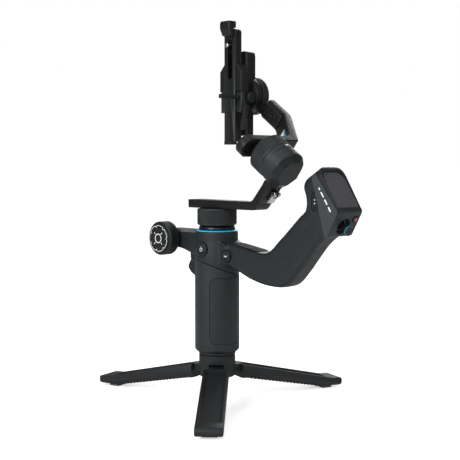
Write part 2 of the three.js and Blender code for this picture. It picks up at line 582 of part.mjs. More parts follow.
function buildTilt() {
  const rotor = rod(20, TILT_DISC_RIGHT + GAP, TILT_MOTOR_INNER - GAP, BIG_ROUND);
  addPiece(tiltGroup, "tilt_rotor", MOTOR, alongX(rotor));
  const half = TILT_BAR_HALF_WIDTH;
  const whole = roundedOutline([
    [-half, TILT_BAR_LOW, 2], [half, TILT_BAR_LOW, 2], [half, TILT_BAR_HIGH, 6], [-half, TILT_BAR_HIGH, 6],
  ]);
  const upper = roundedOutline([[-half, 0], [half, 0], [half, TILT_BAR_HIGH, 6], [-half, TILT_BAR_HIGH, 6]]);
  const bar = join(
    toSolid(across(whole, TILT_BAR_LEFT, TILT_BAR_RIGHT, 1, 4)),
    toSolid(across(upper, TILT_BAR_LEFT + 4, TILT_DISC_RIGHT, 1, 4)),
    toSolid(alongX(rod(TILT_MOTOR_RADIUS, 62, TILT_DISC_RIGHT, BIG_ROUND))),
  );
  const grooveFloor = TILT_BAR_LEFT + 3.3;
  const groove = boxSolid([TILT_BAR_LEFT - 5, grooveFloor], [-4.3, 4.3], [TILT_BAR_LOW - 5, TILT_BAR_HIGH + 5]);
  addPiece(tiltGroup, "tilt_bar", ARM, cut(bar, groove));
}

// The plate's cross-section, grown by a clearance: a wide face, a neck and a foot.
function plateProfile(clearance) {
  const side = [
    [PLATE_LEFT - clearance, PLATE_HALF_WIDTH], [PLATE_STEP + clearance, PLATE_HALF_WIDTH],
    [PLATE_STEP + clearance, 6], [PLATE_NECK, 6], [PLATE_NECK, 8.5], [PLATE_RIGHT + clearance, 8.5],
  ];
  const grown = side.map(([x, y]) => [x, y + clearance]);
  const mirrored = grown.map(([x, y]) => [x, -y]).reverse();
  return outline([...grown, ...mirrored]);
}

function buildQuickRelease() {
  const jawShape = outline([[-18, 3.5], [18, 3.5], [18, 27.5], [11, 35.7], [-11, 35.7], [-18, 27.5]]);
  const jawLeft = PLATE_LEFT + 1;
  const backLeft = 51.5;
  const jaws = toSolid(across(jawShape, jawLeft, backLeft + 0.5, 1));
  const back = boxSolid([backLeft, TILT_BAR_LEFT - GAP], [-12, 12], [-16.7, 35]);
  const key = boxSolid([backLeft, TILT_BAR_LEFT + 3], [-4, 4], [-16.7, 35]);
  const channel = toSolid(extruded(plateProfile(GAP), -100, 150));
  const mouthHalf = PLATE_HALF_WIDTH + GAP;
  const mouth = boxSolid([PLATE_LEFT - 5, PLATE_STEP + GAP], [-mouthHalf, mouthHalf], [-100, 150]);
  addPiece(tiltGroup, "clamp_base", ARM, cut(join(jaws, back, key), channel, mouth));

  const knobCentre = [TILT_BAR_LEFT - 0.5, -3.6];
  const knobSpace = toSolid(alongY(rod(7.2, -30, -11.5, 24), ...knobCentre));
  const stopShape = outline([[-17, -21.4], [17, -21.4], [17, 3.2], [-17, 3.2]]);
  const stop = toSolid(across(stopShape, jawLeft + 1, backLeft - GAP, 0.8));
  addPiece(tiltGroup, "clamp_lower_jaw", MOTOR, cut(stop, channel, mouth, knobSpace));
  addPiece(tiltGroup, "clamp_knob", SHELL_DARK, alongY(rod(6.6, -21.5, -12 - GAP, 24), ...knobCentre));

  // The lever hangs behind the lower jaw from a round hub that points right.
  const span = [jawLeft + 2, 48];
  const hub = toSolid(alongX(rod(3, ...span, 16), -20.6, -15.2));
  const bladeShape = outline([[-23.2, -16], [-18, -17], [-13.5, -42], [-16.5, -42]]);
  const blade = toSolid(across(bladeShape, ...span, 0.6));
  addPiece(tiltGroup, "clamp_lever", SHELL_DARK, join(hub, blade));
  addPiece(tiltGroup, "safety_tab", SHELL_DARK, boxGeometry([9, jawLeft + 1 - GAP], [-15, -10], [-6, -1]));
}

function buildCameraPlate() {
  const half = PLATE_HALF_WIDTH;
  const roundTop = across(roundedOutline([
    [-half, PLATE_LOW], [half, PLATE_LOW], [half, PLATE_HIGH, 7], [-half, PLATE_HIGH, 7],
  ]), PLATE_LEFT - 1, PLATE_RIGHT + 1);
  const plate = toSolid(extruded(plateProfile(0), PLATE_LOW, PLATE_HIGH)).intersect(toSolid(roundTop));
  const lip = boxSolid([PLATE_LEFT - 3.5, PLATE_STEP], [-6, 6], [PLATE_LOW - 3.5, PLATE_LOW + 0.5]);
  const slotFrame = frameAt(0, 0, 42, X_AXIS, Z_AXIS);
  const screwSlot = placed(extruded(slotShape(24, 3.6), 0, 60), slotFrame);
  const headSlot = placed(extruded(slotShape(26.5, 5), PLATE_LEFT + 4, 60), slotFrame);
  addPiece(tiltGroup, "camera_plate", ARM, cut(join(plate, lip), screwSlot, headSlot));

  // The hook caps the plate and reaches over the end of the camera. Its underside slopes back to the plate.
  const hookRight = PLATE_LEFT - GAP;
  const capBottom = PLATE_HIGH + GAP;
  const hookShape = outline([
    [29, 84.3], [31, 86.3], [42, 86.3], [42, capBottom], [hookRight, capBottom], [hookRight, 67.6],
    [33, 69.5], [29, 77],
  ]);
  const upright = new THREE.Matrix4().makeBasis(X_AXIS, Z_AXIS, Y_AXIS.clone().negate());
  addPiece(tiltGroup, "plate_hook", ARM, extruded(hookShape, -8, 8, 1).applyMatrix4(upright));

  const headLeft = PLATE_LEFT + 4.6;
  const screw = turned([
    [0, PLATE_LEFT - 6], [2.6, PLATE_LEFT - 6], [2.6, headLeft], [4.6, headLeft], [4.6, headLeft + 3],
    [0, headLeft + 3],
  ], SMALL_ROUND);
  addPiece(tiltGroup, "camera_screw", STEEL, alongX(screw, 0, 58));
}

// ---------------------------------------------------------------- mini tripod
const TANGENTIAL = new THREE.Matrix4().makeBasis(X_AXIS, Z_AXIS, Y_AXIS.clone().negate());
const LEG_PIVOT = frameAt(LEG_PIVOT_RADIUS, 0, LEG_PIVOT_HEIGHT, Y_AXIS, X_AXIS);
const pivotRod = (radius, half, sides = 12) => rod(radius, -half, half, sides).applyMatrix4(LEG_PIVOT);

function buildTripod() {
  const windows = Object.values(LEG_ANGLES).map((angle) => {
    const turn = new THREE.Matrix4().makeRotationZ(THREE.MathUtils.degToRad(angle));
    const slot = boxGeometry([9.3, 30], [-8.8, 8.8], [HUB_BOTTOM - 5, 41.5]);
    return [slot, pivotRod(1.8, 14)].map((piece) => placed(piece, turn));
  });
  const hub = turned([
    [0, HUB_BOTTOM], [HUB_RADIUS - 1, HUB_BOTTOM], [HUB_RADIUS, HUB_BOTTOM + 1], [HUB_RADIUS, HUB_TOP - 1.5],
    [HUB_RADIUS - 1.5, HUB_TOP], [0, HUB_TOP],
  ]);
  addPiece(gimbal, "tripod_hub", TRIPOD, cut(toSolid(hub), ...windows.flat()));
  const flange = 21.7;
  addPiece(gimbal, "tripod_screw", STEEL, turned([
    [0, HUB_TOP + GAP], [flange, HUB_TOP + GAP], [flange, GRIP_BOTTOM - GAP], [3, GRIP_BOTTOM - GAP],
    [3, GRIP_BOTTOM + 6.5], [0, GRIP_BOTTOM + 6.5],
  ], BIG_ROUND));

  const footShape = outline([
    [FOOT_RADIUS - 6.5, FLOOR + 0.8], [FOOT_RADIUS - 5.7, FLOOR], [FOOT_RADIUS + 5.7, FLOOR],
    [FOOT_RADIUS + 6.5, FLOOR + 0.8],
    [FOOT_RADIUS + 6.5, LEG_TIP.low - GAP], [FOOT_RADIUS - 6.5, LEG_TIP.low - GAP],
  ]);
  for (const [name, angle] of Object.entries(LEG_ANGLES)) {
    const legGroup = addGroup(gimbal, 0, 0, 0, 0, THREE.MathUtils.degToRad(angle));
    addPiece(legGroup, `leg_${name}`, TRIPOD, legSolid());
    addPiece(legGroup, `leg_pin_${name}`, STEEL, pivotRod(1.5, 11));
    addPiece(legGroup, `foot_${name}`, RUBBER, extruded(footShape, -9, 9, 0.8).applyMatrix4(TANGENTIAL));
  }
}

const LEG_TIP = { radius: 163, low: -1.2, round: 4.9 };
const LEG_FALL = 22.4 / 110; // the underside's drop for each millimetre outward
const LEG_TOP_FALL = 29 / 125;

// One leg in its own frame: +X outward, +Z up. Its underside is toothed and narrower than its top,
// so that three folded legs close into one rod.
function legSolid() {
  const bottomAt = (r) => 21.2 - (r - LEG_ROOT) * LEG_FALL;
  const teeth = 20;
  const [firstTooth, lastTooth] = [33, 133];
  const pitch = (lastTooth - firstTooth) / teeth;
  const points = [[LEG_ROOT, bottomAt(LEG_ROOT)], [firstTooth, bottomAt(firstTooth)]];
  for (let i = 0; i < teeth; i += 1) {
    const r = firstTooth + i * pitch;
    const notch = bottomAt(r) + 1.9;
    points.push([r + 0.15 * pitch, notch], [r + 0.5 * pitch, notch - 0.2]);
    points.push([r + 0.65 * pitch, bottomAt(r + 0.65 * pitch)]);
  }
  points.push([FOOT_RADIUS - 12, LEG_TIP.low]);
  const profile = outline(points);
  const { radius, low, round } = LEG_TIP;
  profile.absarc(radius, low + round, round, -Math.PI / 2, Math.PI / 2, false);
  profile.lineTo(152, LEG_TOP - (152 - LEG_ROOT) * LEG_TOP_FALL);
  profile.lineTo(LEG_ROOT, LEG_TOP);
  const side = placed(extruded(profile, -LEG_HALF_WIDTH, LEG_HALF_WIDTH, 0, 6), TANGENTIAL);

  const half = LEG_HALF_WIDTH;
  const section = outline([
    [-8, -2], [8, -2], [half, 8], [half, 14], [13, 22], [-13, 22], [-half, 14], [-half, 8],
  ]);
  const sloping = (fall, height) => {
    const slope = Math.atan(fall);
    const run = new THREE.Vector3(Math.cos(slope), 0, -Math.sin(slope));
    const rise = new THREE.Vector3(Math.sin(slope), 0, Math.cos(slope));
    return new THREE.Matrix4().makeBasis(Y_AXIS, rise, run).setPosition(LEG_ROOT, 0, height);
  };
  const along = sloping(LEG_FALL, bottomAt(LEG_ROOT));
  const troughShape = outline([[-10, -2.4], [10, -2.4], [12.5, 1], [-12.5, 1]]);
  const trough = placed(extruded(troughShape, 3, 124), sloping(LEG_TOP_FALL, LEG_TOP));
  const corner = half - 2.5;
  const plan = outline([[10, -half], [166, -half], [169, -corner], [169, corner], [166, half], [10, half]]);
  const fullLength = placed(extruded(section, -20, 180), along);
  const body = side.intersect(fullLength).intersect(toSolid(extruded(plan, FLOOR, 60)));

  const tongue = join(
    toSolid(boxGeometry([LEG_PIVOT_RADIUS, LEG_ROOT + 3], [-8.5, 8.5], [29.5, LEG_TOP])),
    toSolid(pivotRod(4.7, 8.5, 20)),
  );
  return cut(join(body, tongue), trough, toSolid(pivotRod(1.8, 20)));
}

// ---------------------------------------------------------------- assembly
buildGrip();
buildSlingBody();
buildHousingControls();
buildHead();
buildPan();
buildRollCarriage();
buildRollArm();
buildTiltCarriage();
buildTilt();
buildQuickRelease();
buildCameraPlate();
buildTripod();

const whole = new THREE.Box3().setFromObject(gimbal, true);
const middle = whole.getCenter(new THREE.Vector3());
gimbal.position.set(-middle.x, -middle.y, -whole.min.z);
const group = new THREE.Group();
group.add(gimbal);

export default group;
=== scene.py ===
"""Looks for a three-axis camera gimbal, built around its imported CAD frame. Blender units are metres."""
import json
import math

import bmesh
import bpy
from mathutils import Matrix, Vector


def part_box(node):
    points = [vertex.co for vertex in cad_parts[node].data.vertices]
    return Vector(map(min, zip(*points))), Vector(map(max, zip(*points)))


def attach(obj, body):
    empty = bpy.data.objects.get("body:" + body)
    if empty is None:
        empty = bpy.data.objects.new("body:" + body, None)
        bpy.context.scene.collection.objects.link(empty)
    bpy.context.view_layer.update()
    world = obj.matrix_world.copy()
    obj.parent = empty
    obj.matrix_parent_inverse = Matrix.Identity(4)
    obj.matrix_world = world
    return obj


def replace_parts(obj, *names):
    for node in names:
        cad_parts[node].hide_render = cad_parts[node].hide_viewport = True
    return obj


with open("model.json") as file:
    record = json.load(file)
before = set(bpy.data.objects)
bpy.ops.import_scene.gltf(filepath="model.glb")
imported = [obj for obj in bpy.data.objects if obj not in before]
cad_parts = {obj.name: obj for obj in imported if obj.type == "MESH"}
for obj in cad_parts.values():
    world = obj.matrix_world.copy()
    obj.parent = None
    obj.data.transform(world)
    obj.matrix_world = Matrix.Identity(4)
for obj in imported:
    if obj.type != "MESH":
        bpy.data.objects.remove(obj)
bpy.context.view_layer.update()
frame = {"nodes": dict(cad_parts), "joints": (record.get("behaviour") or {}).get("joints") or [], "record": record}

MM = 0.001
BODY = {node: body for body, nodes in frame["record"]["behaviour"]["bodies"].items() for node in nodes}
SLOT = {entry["node"]: entry["material_slot"] for entry in frame["record"]["subparts"]}
JOINT = {joint["name"]: joint for joint in frame["joints"]}

X_AXIS = Vector((1, 0, 0))
Y_AXIS = Vector((0, 1, 0))
Z_AXIS = Vector((0, 0, 1))


# ---------------------------------------------------------------- places taken from the frame
# Millimetre places are measured from the grip's axis, with the grip's bottom at height GRIP_BOTTOM.
# TO_FRAME takes them to the frame.
GRIP_BOTTOM = 56
GRIP_AXIS = (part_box("grip_shell")[0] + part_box("grip_shell")[1]) / 2 / MM
GRIP_AXIS.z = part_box("grip_shell")[0].z / MM - GRIP_BOTTOM
TO_FRAME = Matrix.Scale(MM, 4) @ Matrix.Translation(GRIP_AXIS)


def low(node):
    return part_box(node)[0] / MM - GRIP_AXIS


def high(node):
    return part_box(node)[1] / MM - GRIP_AXIS


def middle(node):
    return (low(node) + high(node)) / 2


def place(origin, forward=Z_AXIS, side=X_AXIS):
    """A frame in millimetres at origin, with local +Z along forward and local +X along side."""
    forward = Vector(forward).normalized()
    side = Vector(side).normalized()
    turned = Matrix((side, forward.cross(side), forward)).transposed().to_4x4()
    return Matrix.Translation(Vector(origin)) @ turned


ROLL_FORWARD = Vector(JOINT["roll"]["axis"])
AXES_CENTRE = Vector(JOINT["roll"]["pos_m"]) / MM - GRIP_AXIS
ALONG_ROLL = place(AXES_CENTRE, ROLL_FORWARD)  # local +Z is forward along the roll axis
ALONG_TILT = place((0, AXES_CENTRE.y, AXES_CENTRE.z), X_AXIS, Y_AXIS)
CONTROL_OUT = -Vector(JOINT["record_press"]["axis"])
JOYSTICK_DEPTH = 4.5
JOYSTICK_PIVOT = Vector(JOINT["joystick_pitch"]["pos_m"]) / MM - GRIP_AXIS
CONTROL_FACE = place(JOYSTICK_PIVOT + CONTROL_OUT * JOYSTICK_DEPTH, CONTROL_OUT)
MOTOR_RADIUS = (high("tilt_motor").y - low("tilt_motor").y) / 2


# ---------------------------------------------------------------- materials
def hex_colour(code):
    channels = [int(code[i:i + 2], 16) / 255 for i in (1, 3, 5)]
    linear = [c / 12.92 if c <= 0.04045 else ((c + 0.055) / 1.055) ** 2.4 for c in channels]
    return (*linear, 1.0)


class Finish:
    """A node-based material: a base colour that varies, a roughness that varies, and layered bump."""

    def __init__(self, name, colour, roughness, metallic=0.0, coat=0.0):
        self.material = bpy.data.materials.new(name)
        self.material.use_nodes = True
        self.tree = self.material.node_tree
        self.shader = self.tree.nodes["Principled BSDF"]
        self.shader.inputs["Metallic"].default_value = metallic
        self.shader.inputs["Coat Weight"].default_value = coat
        self.shader.inputs["Specular IOR Level"].default_value = 0.32
        self.place = self.node("ShaderNodeTexCoord").outputs["Object"]
        self.colour = hex_colour(colour)
        self.roughness = roughness
        self.height = None

    def node(self, kind, **values):
        made = self.tree.nodes.new(kind)
        for key, value in values.items():
            setattr(made, key, value)
        return made

    def join(self, source, target):
        self.tree.links.new(source, target)

    def noise(self, size_mm, detail=2.0, stretch=None):
        texture = self.node("ShaderNodeTexNoise")
        texture.inputs["Scale"].default_value = 1 / (size_mm * MM)
        texture.inputs["Detail"].default_value = detail
        source = self.place
        if stretch:
            mapping = self.node("ShaderNodeMapping")
            mapping.inputs["Scale"].default_value = stretch
            self.join(self.place, mapping.inputs["Vector"])
            source = mapping.outputs["Vector"]
        self.join(source, texture.inputs["Vector"])
        return texture.outputs["Fac"]

    def mix(self, factor, first, second):
        blend = self.node("ShaderNodeMix", data_type="RGBA")
        self.join(factor, blend.inputs["Factor"])
        for value, target in ((first, blend.inputs[6]), (second, blend.inputs[7])):
            if isinstance(value, tuple):
                target.default_value = value
            else:
                self.join(value, target)
        return blend.outputs[2]

    def spread(self, source, low_value, high_value, start=0.3, end=0.7):
        ramp = self.node("ShaderNodeMapRange")
        ramp.inputs["From Min"].default_value = start
        ramp.inputs["From Max"].default_value = end
        ramp.inputs["To Min"].default_value = low_value
        ramp.inputs["To Max"].default_value = high_value
        self.join(source, ramp.inputs["Value"])
        return ramp.outputs["Result"]

    def vary(self, amount=0.12, size_mm=22, wear=0.35):
        """Soft patches of tone, and paler rubbed edges."""
        darker = tuple(c * (1 - amount) for c in self.colour[:3]) + (1.0,)
        paler = tuple(min(1.0, c * (1 + amount)) for c in self.colour[:3]) + (1.0,)
        tone = self.mix(self.spread(self.noise(size_mm, 3), 0, 1), darker, paler)
        if wear > 0:
            rubbed = tuple(min(1.0, c * 2.2 + 0.01) for c in self.colour[:3]) + (1.0,)
            edge = self.spread(self.node("ShaderNodeNewGeometry").outputs["Pointiness"], 0, wear, 0.515, 0.58)
            tone = self.mix(edge, tone, rubbed)
        self.join(tone, self.shader.inputs["Base Color"])
        rough = self.spread(self.noise(size_mm / 3, 2), self.roughness - 0.05, self.roughness + 0.05)
        self.join(rough, self.shader.inputs["Roughness"])
        return self

    def bump(self, source, depth_mm, strength=1.0):
        bump = self.node("ShaderNodeBump")
        bump.inputs["Strength"].default_value = strength
        bump.inputs["Distance"].default_value = depth_mm * MM
        self.join(source, bump.inputs["Height"])
        if self.height:
            self.join(self.height, bump.inputs["Normal"])
        self.height = bump.outputs["Normal"]
        self.join(self.height, self.shader.inputs["Normal"])
        return self

    def grain(self, size_mm=0.45, depth_mm=0.03):
        """The spark-eroded texture of moulded plastic."""
        return self.bump(self.noise(size_mm, 3), depth_mm, 0.5)

    # Painted glow: emission that makes a part shine though it is no lamp.
    def painted_glow(self, strength):
        self.shader.inputs["Emission Color"].default_value = self.colour
        self.shader.inputs["Emission Strength"].default_value = strength
        return self


def plastic(name, colour, roughness, size_mm=0.45, depth_mm=0.03, **varied):
    return Finish(name, colour, roughness).vary(**varied).grain(size_mm, depth_mm).material


def metal(name, colour, roughness, metallic=0.85, depth_mm=0.012, **varied):
    finish = Finish(name, colour, roughness, metallic)
    finish.vary(**varied)
    return finish.grain(0.25, depth_mm).material


def screen_with_painted_sheen():
    """Dark glass, its base colour lifted to a grey that is partly its own dark tint and partly a painted sheen."""
    finish = Finish("display_glass", "#47464b", 0.25, coat=0.5)
    finish.vary(amount=0.05, size_mm=40, wear=0.0)
    return finish.bump(finish.noise(9, 1), 0.02, 0.1).material


def copper_material():
    """Windings: fine parallel wire."""
    finish = Finish("copper_winding", "#a9673a", 0.35, 0.9)
    finish.vary(amount=0.2, size_mm=4, wear=0.0)
    return finish.bump(finish.noise(0.5, 0, (1, 1, 8)), 0.1, 0.8).material


MATERIALS = {
    "shell": plastic("shell_plastic", "#1a1f21", 0.5, 0.5, 0.02, amount=0.08, wear=0.25),
    "shell_dark": plastic("dark_plastic", "#101213", 0.55, 0.4, 0.03, wear=0.3),
    "button": plastic("button_plastic", "#15181a", 0.42, 0.4, 0.01, wear=0.3),
    "arm": metal("arm_anodised", "#1c1d1d", 0.42, 0.4, wear=0.5),
    "motor": metal("motor_anodised", "#25282a", 0.5, 0.35, wear=0.45),
    "dark_steel": metal("dark_steel", "#2b2d2f", 0.32, 0.9, 0.006, amount=0.05, wear=0.2),
    "steel": metal("bright_steel", "#c6c8c9", 0.2, 1.0, 0.004, amount=0.05, wear=0.0),
    "copper": copper_material(),
    "rubber": plastic("grey_rubber", "#56595a", 0.75, 0.6, 0.05, amount=0.15, wear=0.3),
    "label": plastic("label_plate", "#303436", 0.5, 0.35, 0.012, amount=0.06, wear=0.4),
    "screen": screen_with_painted_sheen(),
    # The blue accent and the red record dot carry a painted glow; neither is a lamp.
    "accent": Finish("accent_blue", "#2399bf", 0.3, coat=0.4).vary(amount=0.06, wear=0.0).painted_glow(0.25).material,
    "red": Finish("record_red", "#d42c42", 0.35, coat=0.4).vary(amount=0.05, wear=0.0).painted_glow(0.15).material,
    "board": plastic("circuit_board", "#1f5a38", 0.4, 1.4, 0.05, amount=0.25, wear=0.0),
    "cell": plastic("cell_wrap", "#2b4f7a", 0.3, 3.0, 0.02, wear=0.0),
    "tripod": plastic("tripod_plastic", "#16191b", 0.58, 0.6, 0.05, amount=0.12, wear=0.35),
    "white": Finish("white_print", "#e9ecec", 0.5).vary(amount=0.04, wear=0.0).grain(0.3, 0.01).material,
    # Painted shade: a near-black finish with almost no reflection, for the sheet that stands in for the shade in
    # the arm's recess.
    "recess_shade": plastic("recess_shadow", "#0d0f10", 0.7, 0.5, 0.03, wear=0.0),
}
MATERIALS["recess_shade"].node_tree.nodes["Principled BSDF"].inputs["Specular IOR Level"].default_value = 0.08

DARK_PINS = ("leg_pin_rear", "leg_pin_right", "leg_pin_left", "trigger_pin")

for name, node in frame["nodes"].items():
    node.data.materials.clear()
    node.data.materials.append(MATERIALS["dark_steel" if name in DARK_PINS else SLOT[name]])


# ---------------------------------------------------------------- making pieces
def piece(name, mesh, body, slot, matrix=None):
    """A finished mesh in millimetres becomes a shown piece in metres that rides on a body."""
    mesh.transform(TO_FRAME @ (matrix or Matrix.Identity(4)))
    mesh.polygons.foreach_set("use_smooth", [True] * len(mesh.polygons))
    obj = bpy.data.objects.new(name, mesh)
    bpy.context.scene.collection.objects.link(obj)
    mesh.materials.clear()
    mesh.materials.append(MATERIALS[slot])
    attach(obj, body)
    return obj


def stand_in(node, mesh, matrix=None, slot=None):
    """The piece that is shown instead of a CAD node."""
    obj = piece(node + "_fine", mesh, BODY[node], slot or SLOT[node], matrix)
    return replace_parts(obj, node)


def soften(obj, width_mm, segments=3, angle=28):
    """Rounds the edges that are sharper than angle, and shades the faces between them flat."""
    bevel = obj.modifiers.new("bevel", "BEVEL")
    bevel.width = width_mm * MM
    bevel.segments = segments
    bevel.limit_method = "ANGLE"
    bevel.angle_limit = math.radians(angle)
    bevel.harden_normals = True
    bevel.miter_outer = "MITER_ARC"
    return obj


def sharpen(obj, angle=35):
    """Keeps creases above angle crisp on a smooth-shaded piece."""
    obj.data.set_sharp_from_angle(angle=math.radians(angle))
    return obj


def from_cad(node):
    """The CAD node's own surface in millimetres, with its flat faces whole again."""
    bm = bmesh.new()
    bm.from_mesh(frame["nodes"][node].data)
    bmesh.ops.scale(bm, vec=(1 / MM,) * 3, verts=bm.verts)
    bmesh.ops.translate(bm, vec=-GRIP_AXIS, verts=bm.verts)
    bmesh.ops.remove_doubles(bm, verts=bm.verts, dist=0.002)
    bmesh.ops.dissolve_limit(bm, angle_limit=math.radians(1.5), verts=bm.verts, edges=bm.edges)
    return to_mesh(bm, node)


def to_mesh(bm, name):
    """The finished mesh, with its faces turned outwards."""
    bmesh.ops.recalc_face_normals(bm, faces=bm.faces)
    mesh = bpy.data.meshes.new(name)
    bm.to_mesh(mesh)
    bm.free()
    return mesh


def refine(node, width_mm, segments=3, slot=None):
    """The CAD node's own shape, shown with rounded edges."""
    return soften(stand_in(node, from_cad(node), slot=slot), width_mm, segments)


def fillet(points, radius, steps=4):
    """A closed outline with each corner rounded by an arc of about the given radius."""
    rounded = []
    count = len(points)
    for i in range(count):
        before, corner, after = (Vector(points[(i + k) % count]) for k in (-1, 0, 1))
        to_before, to_after = before - corner, after - corner
        reach = min(radius, to_before.length * 0.45, to_after.length * 0.45)
        start = corner + to_before.normalized() * reach
        end = corner + to_after.normalized() * reach
        for k in range(steps + 1):
            t = k / steps
            rounded.append((1 - t) ** 2 * start + 2 * t * (1 - t) * corner + t ** 2 * end)
    return rounded


def arc_profile(points, radius, steps=3):
    """A turned profile whose corners, apart from those on the axis, are rounded."""
    rounded = [Vector(points[0])]
    for i in range(1, len(points) - 1):
        before, corner, after = (Vector(points[i + k]) for k in (-1, 0, 1))
        to_before, to_after = before - corner, after - corner
        reach = min(radius, to_before.length * 0.45, to_after.length * 0.45)
        for k in range(steps + 1):
            t = k / steps
            start = corner + to_before.normalized() * reach
            end = corner + to_after.normalized() * reach
            rounded.append((1 - t) ** 2 * start + 2 * t * (1 - t) * corner + t ** 2 * end)
    rounded.append(Vector(points[-1]))
    return rounded


def turned(profile, sides, flutes=None):
    """A solid turned round local Z from (radius, height) pairs.

    flutes is (count, depth, low, high): fine grooves along the axis between two heights.
    """
    bm = bmesh.new()
    rows = []
    for radius, height in profile:
        if radius < 1e-6:
            rows.append([bm.verts.new((0, 0, height))])
            continue
        row = []
        for i in range(sides):
            angle = 2 * math.pi * i / sides
            r = radius
            if flutes and flutes[2] <= height <= flutes[3]:
                r -= flutes[1] * (0.5 - 0.5 * math.cos(flutes[0] * angle)) ** 2
            row.append(bm.verts.new((r * math.cos(angle), r * math.sin(angle), height)))
        rows.append(row)
    closed = len(rows[0]) > 1 and len(rows[-1]) > 1
    pairs = list(zip(rows, rows[1:])) + ([(rows[-1], rows[0])] if closed else [])
    for lower, upper in pairs:
        for i in range(sides):
            j = (i + 1) % sides
            if len(lower) == 1:
                bm.faces.new((lower[0], upper[j], upper[i]))
            elif len(upper) == 1:
                bm.faces.new((lower[i], lower[j], upper[0]))
            else:
                bm.faces.new((lower[i], lower[j], upper[j], upper[i]))
    return to_mesh(bm, "turned")


def prism(outline, near, far):
    """An outline in local (x, y), carried from z = near to z = far."""
    bm = bmesh.new()
    lower = [bm.verts.new((p[0], p[1], near)) for p in outline]
    upper = [bm.verts.new((p[0], p[1], far)) for p in outline]
    bm.faces.new(lower[::-1])
    bm.faces.new(upper)
    for i in range(len(outline)):
        j = (i + 1) % len(outline)
        bm.faces.new((lower[i], lower[j], upper[j], upper[i]))
    return to_mesh(bm, "prism")


def rectangle(left, bottom, right, top):
    return [(left, bottom), (right, bottom), (right, top), (left, top)]


def rounded_box(size_x, size_y, radius, steps=5):
    """A centred rectangle with rounded corners."""
    half_x, half_y = size_x / 2 - radius, size_y / 2 - radius
    points = []
    for corner, (sx, sy) in enumerate(((1, 1), (-1, 1), (-1, -1), (1, -1))):
        for k in range(steps + 1):
            angle = math.pi / 2 * (corner + k / steps)
            x, y = sx * half_x + radius * math.cos(angle), sy * half_y + radius * math.sin(angle)
            points.append(Vector((x, y)))
    return points


ACROSS = place((0, 0, 0), X_AXIS, Y_AXIS)  # local (x, y, z) is the object's (Y, Z, X)


def across(outline, first_x, last_x):
    """An outline in the object's (Y, Z), carried from first_x to last_x."""
    mesh = prism(outline, first_x, last_x)
    mesh.transform(ACROSS)
    return mesh


def about_x(centre):
    """A frame for a part that turns about X through centre, with local Z along X."""
    return place((0, centre.y, centre.z), X_AXIS, Y_AXIS)


def temporary(mesh, matrix=None):
    """A mesh as a throwaway object in metres, to cut with."""
    mesh.transform(TO_FRAME @ (matrix or Matrix.Identity(4)))
    obj = bpy.data.objects.new("cutter", mesh)
    bpy.context.scene.collection.objects.link(obj)
    return obj


def apply_modifiers(obj):
    """Makes the modifiers part of the mesh."""
    bpy.context.view_layer.update()
    evaluated = obj.evaluated_get(bpy.context.evaluated_depsgraph_get())
    baked = bpy.data.meshes.new_from_object(evaluated)
    obj.modifiers.clear()
    obj.data = baked
    return obj


def carve(obj, *cutters, operation="DIFFERENCE"):
    """Cuts throwaway objects out of obj."""
    for cutter in cutters:
        modifier = obj.modifiers.new("cut", "BOOLEAN")
        modifier.operation = operation
        modifier.solver = "EXACT"
        modifier.object = cutter
    apply_modifiers(obj)
    for cutter in cutters:
        bpy.data.objects.remove(cutter)
    return obj


def tube(points, radius, sides=10, closed=False):
    """A round bead along points, in millimetres."""
    bm = bmesh.new()
    rings = []
    count = len(points)
    for i, point in enumerate(points):
        ahead = points[(i + 1) % count] if closed or i + 1 < count else point
        behind = points[i - 1] if closed or i > 0 else point
        direction = (Vector(ahead) - Vector(behind)).normalized()
        side = direction.cross(Z_AXIS if abs(direction.z) < 0.9 else X_AXIS).normalized()
        up = side.cross(direction)
        rings.append([bm.verts.new(Vector(point) + radius * (side * math.cos(a) + up * math.sin(a)))
                      for a in (2 * math.pi * k / sides for k in range(sides))])
    pairs = list(zip(rings, rings[1:])) + ([(rings[-1], rings[0])] if closed else [])
    for first, second in pairs:
        for k in range(sides):
            m = (k + 1) % sides
            bm.faces.new((first[k], first[m], second[m], second[k]))
    if not closed:
        bm.faces.new(rings[0][::-1])
        bm.faces.new(rings[-1])
    return to_mesh(bm, "tube")


def smooth_path(points, steps=6):
    """A Catmull-Rom curve through points of any dimension."""
    ends = [points[0]] + list(points) + [points[-1]]
    path = []
    for i in range(1, len(ends) - 2):
        a, b, c, d = (Vector(p) for p in ends[i - 1:i + 3])
        for k in range(steps):
            t = k / steps
            path.append(0.5 * (2 * b + (c - a) * t + (2 * a - 5 * b + 4 * c - d) * t * t
                               + (3 * b - a - 3 * c + d) * t ** 3))
    path.append(Vector(points[-1]))
    return path


# ---------------------------------------------------------------- grip
def wrapped(outline, inner, outer, at_radius, middle_degrees):
    """An outline in (arc length, height) wrapped round the vertical axis, from radius inner to outer.

    Arc length is measured at radius at_radius, from the direction middle_degrees.
    """
    bm = bmesh.new()
    bm.from_mesh(prism(outline, inner, outer))
    reach = max(abs(p[0]) for p in outline)
    step = 1.2
    for i in range(-int(reach / step), int(reach / step) + 1):
        geometry = bm.verts[:] + bm.edges[:] + bm.faces[:]
        bmesh.ops.bisect_plane(bm, geom=geometry, plane_co=(i * step, 0, 0), plane_no=(1, 0, 0), dist=1e-4)
    for vert in bm.verts:
        angle = math.radians(middle_degrees) + vert.co.x / at_radius
        vert.co = Vector((vert.co.z * math.cos(angle), vert.co.z * math.sin(angle), vert.co.y))
    return to_mesh(bm, "wrapped")


SEAM_HEIGHT = 154.5  # where the seam between grip and housing crosses the axis
SEAM_SLOPE = 0.365  # the seam rises towards the front left
COVER_DEGREES = 2 * 64.2  # how far the battery cover reaches round the grip


def lean(mesh, first, last):
    """Slopes the rows between two heights to follow the seam."""
    for vertex in mesh.vertices:
        if first < vertex.co.z < last:
            vertex.co.z += SEAM_SLOPE * (vertex.co.y - vertex.co.x) * math.sqrt(0.5)
    return mesh


